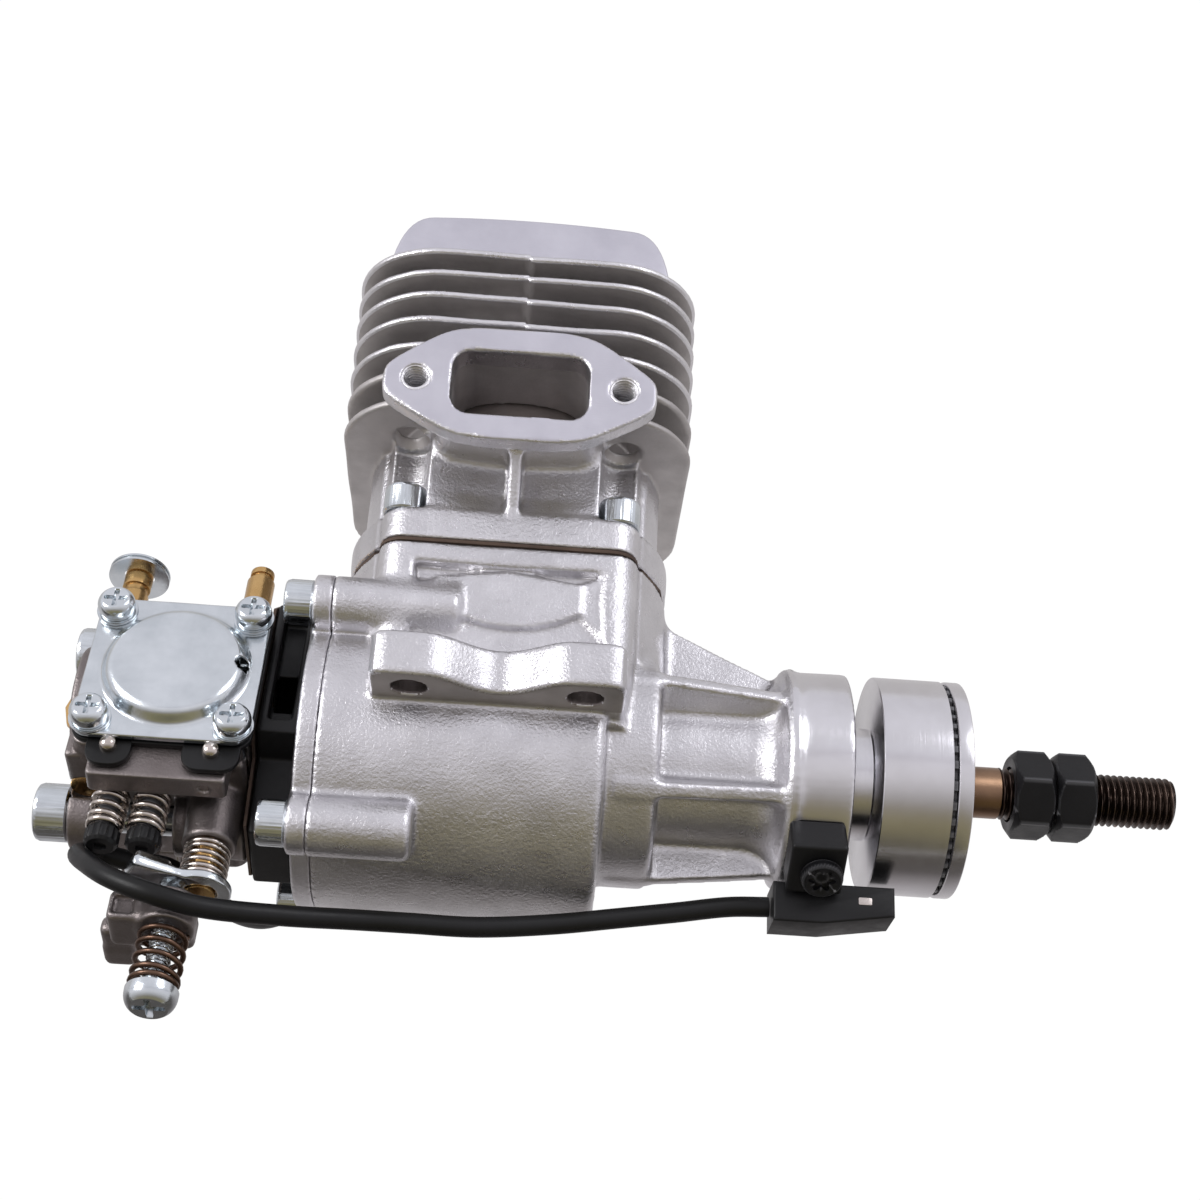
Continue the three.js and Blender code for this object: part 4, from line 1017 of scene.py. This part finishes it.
def nut(start, end):
    """A hexagon whose corners are turned off in a cone at both ends."""
    rows = [(start, THREAD_RADIUS + 0.3), (start, NUT_HALF * 0.95)]
    for along in (*np.linspace(start, start + 0.95, 6), *np.linspace(end - 0.95, end, 6)):
        turned_to = NUT_HALF * 0.955 + 1.25 * min(along - start, end - along)
        rows.append((along, 1.0, lambda theta, a, limit=turned_to: np.minimum(
            NUT_HALF * hexagon(theta), limit)))
    rows += [(end, NUT_HALF * 0.95), (end, THREAD_RADIUS + 0.6), (end - 0.5, THREAD_RADIUS + 0.1)]
    return lathe("x", rows, 144, ring=True)


make_shaft()
make_hub()
for place, start, node in (("inner", 79.2, "prop_nut"), ("outer", 85.6, "lock_nut")):
    piece(f"nut_{place}", nut(start, start + NUT_LENGTH), "crank", "black_steel", node, sharp=24)

ROD_LENGTH, PIN_TO_CROWN = 44, 12
PISTON_RADIUS, PISTON_INNER, RING_GROOVE = 15.8, 13.6, 14.6
CROWN = THROW + ROD_LENGTH + PIN_TO_CROWN
piston = lathe("y", rounded([
    (CROWN - 26, PISTON_INNER), (CROWN - 26, PISTON_RADIUS), (CROWN - 3.6, PISTON_RADIUS),
    (CROWN - 3.6, RING_GROOVE), (CROWN - 2.2, RING_GROOVE), (CROWN - 2.2, PISTON_RADIUS),
    (CROWN, PISTON_RADIUS), (CROWN, 1), (CROWN - 5, 1), (CROWN - 5, PISTON_INNER)], 0.2), 96,
    ring=True)
piece("piston_turned", piston, "piston", "piston", "piston")

# ---- carburettor ----------------------------------------------------------------------------
COVER_AT = (-47.25, -0.8)
DOME_AT = (-46.9, -0.9)
COVER_SCREWS = [(COVER_AT[0] + x, COVER_AT[1] + v) for x in (-10.1, 10.1) for v in (-10.2, 10.2)]
NEEDLES = (("low", -54.2), ("high", -48.4))
NEEDLE_W = 8.0


def make_carb_body():
    body = Casting((CARB_FRONT - 1, -37, -11), (CARB_BACK, 20, 17.6), 0.3)
    body.add(brick(CARB_FRONT, CARB_BACK, -13.6, 12.6, -10.6, 12.6, 0.6))
    body.add(prism("z", rounded_box(-60.1, CARB_BACK, -13.6, 12.2, 2), 11, 15.5, 0.4), k=0.4)
    body.add(prism("z", rounded_box(-57, -37.3, -18.8, -12, 0.7), 11.4, 15.5, 0.35), k=0.3)
    body.add(drum("x", CARB_FRONT - 1, CARB_FRONT + 1, 9.6, THROAT, 0.4), k=0.4)
    for at in CARB_BOLTS:
        for start, end in ((CARB_FRONT, -57.5), (-46, CARB_BACK)):
            body.add(drum("x", start, end, 5.3, at, 0.4), k=0.9)
    body.add(drum("y", -22.6, 17.5, 3.9, THROTTLE_AT, 0.5), k=0.8)
    body.add(trimmed(drum("y", 12, 17.5, 3.9, CHOKE_AT, 0.5),
                     lambda x, y, z: CARB_FRONT - x, (CARB_FRONT, 12, 0), (-55, 17.5, 9)), k=0.8)
    body.add(brick(-53.6, -49.2, -34.6, -12, -8.8, -4.4, 1.0), k=0.8)
    body.add(brick(-53.6, -49.2, -34.6, -31.6, -8.8, 0, 1.0), k=0.8)
    body.add(brick(-51.6, -39.8, -36.6, -31.8, -0.6, 7, 1.0), k=0.8)
    body.add(drum("y", -36.8, -31.8, 4.1, IDLE_AT, 0.4), k=0.6)
    body.waver(0.03, 7)
    body.cut(brick(-50.9, -47.9, -35.6, -32.8, 6.1, 9, 0.4), k=0.4)
    body.cut(cone("x", CARB_FRONT - 2, -53, 7.6, 6.2, THROAT), k=0.3)
    body.cut(drum("x", -54, CARB_BACK + 1, 6.0, THROAT))
    body.cut(drum("y", -19.2, -18.4, 0.9, (-40.4, 13.3)), k=0.2)
    body.drill("x", CARB_FRONT - 4, CARB_BACK + 1, 2.7, CARB_BOLTS)
    body.drill("z", 5, 17, 1.7, COVER_SCREWS)
    body.drill("y", -24, 22, 2.5, [THROTTLE_AT], k=0.25)
    body.drill("y", -15, 22, 2.5, [CHOKE_AT], k=0.25)
    body.drill("y", -20, -9, 1.8, [(x, NEEDLE_W) for _, x in NEEDLES])
    body.drill("y", -41, -31, 1.9, [IDLE_AT], k=0.25)
    mesh = body.mesh()
    for x in (-54.2, -39.8):
        mesh += lathe("z", [(15.4, 0), (15.4, 1.25), (17.3, 1.25), (17.8, 1.05), (18.1, 0.6),
                            (18.2, 0)], 32, (x, -14.6), tag=1)
    carb_piece("carb_casting", mesh, "engine", ("die_cast", "spring_nickel"), "carb_body", None)


def make_metering_cover():
    half_x, half_v, corner = 12.7, 12.9, 2.6
    plan = [COVER_AT[0] - half_x, COVER_AT[0] + half_x, COVER_AT[1] - half_v,
            COVER_AT[1] + half_v]
    seal = []
    for edges in ((plan[0] - 0.1, plan[1] + 0.1, plan[2] - 0.1, plan[3] + 0.1),
                  (-57.4, -51.0, -17.8, -10), (-43.9, -35.7, -17.8, -10)):
        seal += slab("z", dense(rounded_box(*edges, corner)), 15.8, 16.7, 0.2)
    carb_piece("cover_seal", seal, "engine", "rubber", "metering_gasket")
    cover = Casting((plan[0], plan[2], 16.8), (plan[1], plan[3], 20.8), 0.2)
    cover.add(prism("z", rounded_box(*plan, corner), 16.95, 18.1, 0.35))
    cover.add(cone("z", 17.4, 20.4, 11.0, 9.5, DOME_AT, 0.9), k=0.7)
    cover.cut(drum("z", 16, 19.3, 8.9, DOME_AT))
    cover.cut(brick(-37.9, -36.6, -1.6, 0.8, 17.9, 22, 0.3), k=0.1)
    cover.cut(drum("z", 16, 22, 0.9, (-37.4, -0.4)))
    cover.waver(0.02, 8)
    carb_piece("cover_pressing", cover.mesh(), "engine", "zinc", "metering_cover", None)
    for number, at in enumerate(COVER_SCREWS, start=1):
        screw = pan_screw("z", 21.2, 19.3, 2.75, at)
        for low, high, radius, soft in ((18.15, 18.55, 3.0, 0.1), (18.6, 19.2, 2.55, 0.15)):
            washer = [(low, 1.3), (low, radius), (high, radius), (high, 1.3)]
            screw += lathe("z", rounded(washer, soft), 48, at, ring=True)
        screw += lathe("z", [(8, 0), (8, 1.4), (19.5, 1.4), (19.5, 0)], 24, at)
        carb_piece(f"cover_pan_screw_{number}", screw, "engine", "zinc",
                   f"cover_screw_{number}")


def make_pump_cover():
    cover = Casting((-59.4, -13, -17.5), (-36.6, 12, -10.9), 0.3)
    cover.add(prism("z", rounded_box(-59.4, -36.6, -13, 12, 2.6), -14.4, -10.9, 0.5))
    cover.add(drum("z", -17.4, -13, 4.6, (-48, -0.5), 1.0), k=1.2)
    mesh = cover.mesh() + lathe("z", rounded([
        (-13, 1.1), (-13, 2.2), (-22, 2.0), (-23, 2.6), (-24.5, 1.9), (-24.5, 1.1)], 0.2), 40,
        (-55, 7), ring=True)
    carb_piece("pump_cover_casting", mesh, "engine", "die_cast", "pump_cover", None)


def make_shafts():
    radius = 2.2
    throttle = lathe("y", rounded([
        (-30.7, 0), (-30.7, radius), (29.2, radius), (29.2, 1.55), (30.2, 1.55), (30.2, 1.9),
        (31.3, 1.9), (31.3, 0)], 0.15), 48, THROTTLE_AT)
    carb_piece("throttle_spindle", throttle, "throttle", "brass", "throttle_shaft")
    choke = lathe("y", rounded([
        (-13.2, 0), (-13.2, radius), (24.6, radius), (24.6, 1.8), (26, 1.8), (26, radius),
        (30, radius), (30, 0)], 0.15), 48, CHOKE_AT)
    carb_piece("choke_spindle", choke, "choke", "brass", "choke_shaft")
    disc = lathe("y", rounded([
        (28.4, 2.5), (28.4, 4.8), (28.8, 4.8), (28.8, 4.5), (29.2, 4.5), (29.2, 4.8),
        (29.6, 4.8), (29.6, 2.5)], 0.08), 72, CHOKE_AT, ring=True)
    carb_piece("choke_disc", disc, "choke", "zinc", "choke_lever")


def make_throttle_lever():
    """A thick arm clamped round the spindle, its far end bent up."""
    swing = math.radians(28)
    lever = Casting((-11, -30.6, -5), (5, -27, 5), 0.17)
    lever.add(drum("y", -30.4, -29, 4.4, soft=0.35))
    arm = [(0, -3.4), (-8.2, -1.9), (-10.4, -1.6), (-10.4, 1.8), (-8, 2.1), (0, 3.4)]
    lever.add(prism("y", arm, -30.4, -29, 0.35), k=0.5)
    lever.add(brick(-10.5, -5.2, -30.0, -27.7, -1.7, 1.9, 0.6), k=1.2)
    lever.cut(drum("y", -32, -26, 2.45), k=0.15)
    lever.cut(brick(-4.9, -1.5, -31, -28.6, -3.4, -2.9), k=0.1)
    (points, faces, tag), = lever.mesh()
    x, v, w = points.T
    points = np.stack([x * math.cos(swing) + w * math.sin(swing) + THROTTLE_AT[0], v,
                       w * math.cos(swing) - x * math.sin(swing) + THROTTLE_AT[1]], axis=1)
    carb_piece("throttle_arm", [(points, faces, tag)], "throttle", "zinc", "throttle_lever",
               None)


def make_needles():
    for name, x in NEEDLES:
        at = (x, NEEDLE_W)
        stem = lathe("y", [(-9.4, 0), (-13.5, 1.4), (-23.4, 1.4), (-23.4, 0)], 32, at, tag=1)
        cap = lathe("y", [(-23.2, 0), (-23.2, 2.1), (-23.4, 2.4), (-23.5, 2.5, "coarse"),
                          (-25.2, 2.5, "coarse"), (-25.4, 2.3), (-25.8, 1.9), (-25.8, 0.9),
                          (-25.3, 0.8), (-25.3, 0)], 96, at)
        carb_piece(f"{name}_needle_cap", stem + cap, f"{name}_needle",
                   ("plastic", "black_steel"), f"{name}_needle")
        coil = spring("y", -23.2, -16.4, 2.3, 0.47, 4.4, at)
        carb_piece(f"{name}_needle_coil", coil, "engine", "spring_nickel",
                   f"{name}_needle_spring", None)


def make_idle_screw():
    screw = thread("y", -46.6, -31, 1.75, 0.7, 0.36, IDLE_AT, 32)
    screw += pan_screw("y", -49, -46.2, 3.7, IDLE_AT)
    carb_piece("idle_adjuster", screw, "idle_screw", "zinc", "idle_screw")
    coil = spring("y", -45.9, -37.0, 3.2, 0.42, 5, IDLE_AT)
    carb_piece("idle_coil", coil, "engine", "spring_bronze", "idle_spring", None)
    coil = spring("y", -28.7, -22.7, 3.1, 0.34, 5.5, THROTTLE_AT)
    carb_piece("throttle_coil", coil, "engine", "spring_nickel", "throttle_spring", None)


make_carb_body()
make_metering_cover()
make_pump_cover()
make_shafts()
make_throttle_lever()
make_needles()
make_idle_screw()

# ---- ignition sensor and its lead -----------------------------------------------------------
SENSOR_LOW, SENSOR_HIGH = -1.0, 6.6
CLAMP_TURN = math.radians(-30)
CLAMP_SCREW = (48.4, 0.5)
LEAD_DIAMETER, LEAD_STIFFNESS = 3.0, "limp"
LEAD_ROUTE = [
    (41.8, -21.4, 3), (36, -21.8, 3.1), (28, -23.4, 3.8), (20, -25, 4.7), (10, -27, 6),
    (-1, -28.6, 7.6), (-10, -29, 8.9), (-18, -29.5, 10.6), (-28, -30.7, 14.5),
    (-38.3, -31.7, 19.6), (-45, -30.7, 21.2), (-51.1, -28.3, 19.4), (-55.3, -25.3, 15.6),
    (-57.8, -22.6, 11.2), (-56.2, -20.7, 6.3), (-51.5, -21.1, 4.5), (-46.6, -21.4, 3.8),
    (-43, -22.2, -1.5), (-39.4, -22.4, -12), (-34.4, -20.6, -22.2), (-26, -14.6, -27.8),
    (-15, -10.2, -29.4), (-4, -8.4, -29.4), (3, -8, -29.4)]
PLUG = (3.3, 17.3, -12, -4, -31, -28)
PIN_PITCH, PIN_HALF = 2.1, 0.3


def make_sensor():
    faces = [(42.1, -18.4), (42.1, -24.4), (49.5, -24.4), (60, -22.8), (60, -18.4)]
    body = slab("z", dense(np.array(faces, float)), SENSOR_LOW, SENSOR_HIGH, 0.35)
    window = slab("z", rounded_box(54.6, 56.6, -21.3, -20.2, 0.2), SENSOR_HIGH - 0.3,
                  SENSOR_HIGH + 0.06, 0.04, tag=1)
    piece("sensor_moulding", body + window, "engine", ("plastic", "spring_nickel"),
          "sensor_body", sharp=40)
    clamp = Casting((43.4, -20, -8), (52, -6, 15.6), 0.22)
    clamp.add(spun(brick(43.6, 51.8, -21.6, -10, -3.6, 5.4, 0.5), CLAMP_TURN))
    clamp.cut(drum("x", 40, 56, RING_RADIUS + 0.3))
    clamp.cut(brick(40, 62, -27, -18.1, SENSOR_LOW - 1, SENSOR_HIGH + 0.3))
    clamp.cut(spun(drum("y", -24, -13, 1.9, CLAMP_SCREW), CLAMP_TURN))
    piece("sensor_bracket", clamp.mesh(), "engine", "plastic", "sensor_clamp", sharp=None)
    screw = cap_screw("y", -23.6, -21.9, -17.1, 3.1, 1.5, CLAMP_SCREW, "star")
    piece("sensor_fixing", moved(screw, spin_x(CLAMP_TURN)), "engine", "black_steel",
          "sensor_screw")


def smooth_route(points, per_span=14):
    """A centripetal Catmull-Rom curve through the points."""
    points = np.array(points, float)
    points = np.vstack([2 * points[0] - points[1], points, 2 * points[-1] - points[-2]])
    out = []
    for p0, p1, p2, p3 in zip(points, points[1:], points[2:], points[3:]):
        t1 = np.linalg.norm(p1 - p0) ** 0.5
        t2 = t1 + np.linalg.norm(p2 - p1) ** 0.5
        t3 = t2 + np.linalg.norm(p3 - p2) ** 0.5
        for t in np.linspace(t1, t2, per_span, endpoint=False):
            a = p0 + (p1 - p0) * t / t1
            b = p1 + (p2 - p1) * (t - t1) / (t2 - t1)
            c = p2 + (p3 - p2) * (t - t2) / (t3 - t2)
            d = a + (b - a) * t / t2
            e = b + (c - b) * (t - t1) / (t3 - t1)
            out.append(d + (e - d) * (t - t1) / (t2 - t1))
    out.append(points[-2])
    return np.array(out)


def make_lead():
    route = smooth_route(LEAD_ROUTE)
    lead = piece("lead", tube(route, LEAD_DIAMETER / 2, 20), "engine", "rubber", "sensor_lead",
                 sharp=50)
    x0, x1, y0, y1, z0, z1 = PLUG
    shell = Casting((x0, y0, z0), (x1, y1, z1), 0.2)
    shell.add(brick(*PLUG, 0.4))
    shell.cut(brick(x1 - 6, x1 + 1, y0 + 0.7, y1 - 0.7, z0 + 0.6, z1 - 0.6))
    shell.cut(brick(x0 + 2, x0 + 4, y0 - 1, y0 + 0.5, z0 - 1, z1 + 1))
    mesh = shell.mesh()
    for k in (-1, 0, 1):
        y = -8 + PIN_PITCH * k
        pin = rounded_box(y - PIN_HALF, y + PIN_HALF, -29.8, -29.2, 0.1, 2)
        mesh += slab("x", pin, x1 - 6.2, x1 - 1, 0.08, tag=1)
    plug = piece("plug", mesh, "engine", ("plastic", "brass"), "lead_plug", sharp=None)


make_sensor()
make_lead()

# ---- finishes of the CAD nodes that show as they are ----------------------------------------
SLOT_LOOKS = {"cast_aluminium": "cast", "turned_aluminium": "turned", "bronzed_steel": "bronzed",
              "black_plastic": "plastic", "gasket_paper": "paper", "black_rubber": "rubber"}
for subpart in frame["record"]["subparts"]:
    slot = subpart["material_slot"]
    for place in frame["nodes"][subpart["node"]].material_slots:
        place.material = LOOKS[SLOT_LOOKS.get(slot, slot)]

# ---- floor, reflections, lights and world: metres from here on ------------------------------
FLOOR = cad_box[0][2]
WHITE, BLACK = (1, 1, 1, 1), (0, 0, 0, 1)
FLOOR_HALF, FLOOR_GAP = 4.0, 0.0002
CARD_HALF, CARD_GAP, CARD_SPAN = 1.5, 0.0001, (-0.2, 0.1)
DOME_RADIUS = 7
SUBJECT = (0.005, 0.02, 0)
# Stops of (place along y, colour): bright above the head, dark olive grey below the crankcase.
SKY = ((0.0, (0.1, 0.09, 0.075)), (0.03, (0.2, 0.18, 0.11)), (0.08, (0.27, 0.24, 0.14)),
       (0.15, (0.29, 0.26, 0.2)), (0.22, (0.42, 0.4, 0.39)), (0.32, (0.62, 0.6, 0.61)),
       (0.42, (0.79, 0.77, 0.8)), (0.565, (0.82, 0.8, 0.85)), (0.582, (0.52, 0.5, 0.54)),
       (0.615, (0.78, 0.77, 0.82)), (0.9, (0.82, 0.81, 0.86)), (1.0, (0.74, 0.73, 0.77)))
CARD = ((0.0, (0.1, 0.09, 0.08)), (0.4, (0.11, 0.1, 0.095)), (0.5, (0.3, 0.28, 0.28)),
        (0.62, (0.62, 0.6, 0.61)), (1.0, (0.6, 0.58, 0.58)))


def sheet(name, half, level):
    """A level square, so far each way from the middle."""
    data = bpy.data.meshes.new(name)
    data.from_pydata([(-half, -half, 0), (half, -half, 0), (half, half, 0), (-half, half, 0)],
                     [], [(0, 1, 2, 3)])
    made = placed(name, data)
    made.location.z = level
    return made


def glow(thing, look, stops=None, **inputs):
    """Stages a thing that shines, white or in bands along y, and reflects nothing."""
    material = bpy.data.materials.new(look)
    nodes = Nodes(material)
    colour = nodes.bands("Object", *CARD_SPAN, stops) if stops else WHITE
    nodes.feed(nodes.tree.nodes["Principled BSDF"], Specular_IOR_Level=0.0,
               Emission_Color=colour, Emission_Strength=1.0, **inputs)
    thing.data.materials.append(material)


def make_card():
    """A grey card over the floor that only reflections see, darkest under the crankcase."""
    card = sheet("card", CARD_HALF, FLOOR - CARD_GAP)
    card.visible_camera = card.visible_diffuse = card.visible_shadow = False
    glow(card, "grey_card", CARD, Base_Color=BLACK)


def make_backdrop():
    """A white dome, seen by the camera alone, so that the world stays a set of reflections."""
    bpy.ops.mesh.primitive_uv_sphere_add(segments=48, ring_count=24, radius=DOME_RADIUS)
    dome = bpy.context.object
    dome.name = "backdrop"
    dome.visible_glossy = dome.visible_diffuse = dome.visible_shadow = False
    glow(dome, "white_backdrop", Base_Color=BLACK)


def make_world():
    world = bpy.data.worlds.new("studio")
    nodes = Nodes(world)
    nodes.feed(nodes.tree.nodes["Background"], Strength=1.0,
               Color=nodes.bands("Generated", -1, 1, SKY))
    bpy.context.scene.world = world


def soft_light(name, place, size, power, colour=(1, 1, 1)):
    data = bpy.data.lights.new(name, "AREA")
    data.shape = "RECTANGLE"
    data.size = data.size_y = size
    data.energy = power
    data.color = colour
    light = placed(name, data)
    light.location = place
    way = Vector(SUBJECT) - Vector(place)
    light.rotation_euler = way.to_track_quat("-Z", "Y").to_euler()


glow(sheet("floor", FLOOR_HALF, FLOOR - FLOOR_GAP), "pale_floor",
     Base_Color=(0.02, 0.02, 0.02, 1), Roughness=0.9)
make_card()
make_backdrop()
make_world()
soft_light("key", (-0.5, 0.12, 0.42), 0.3, 2.0)
soft_light("front", (0.4, 0.3, 0.45), 0.3, 0.8, (0.96, 0.97, 1.0))
bpy.context.scene.view_settings.view_transform = "Standard"
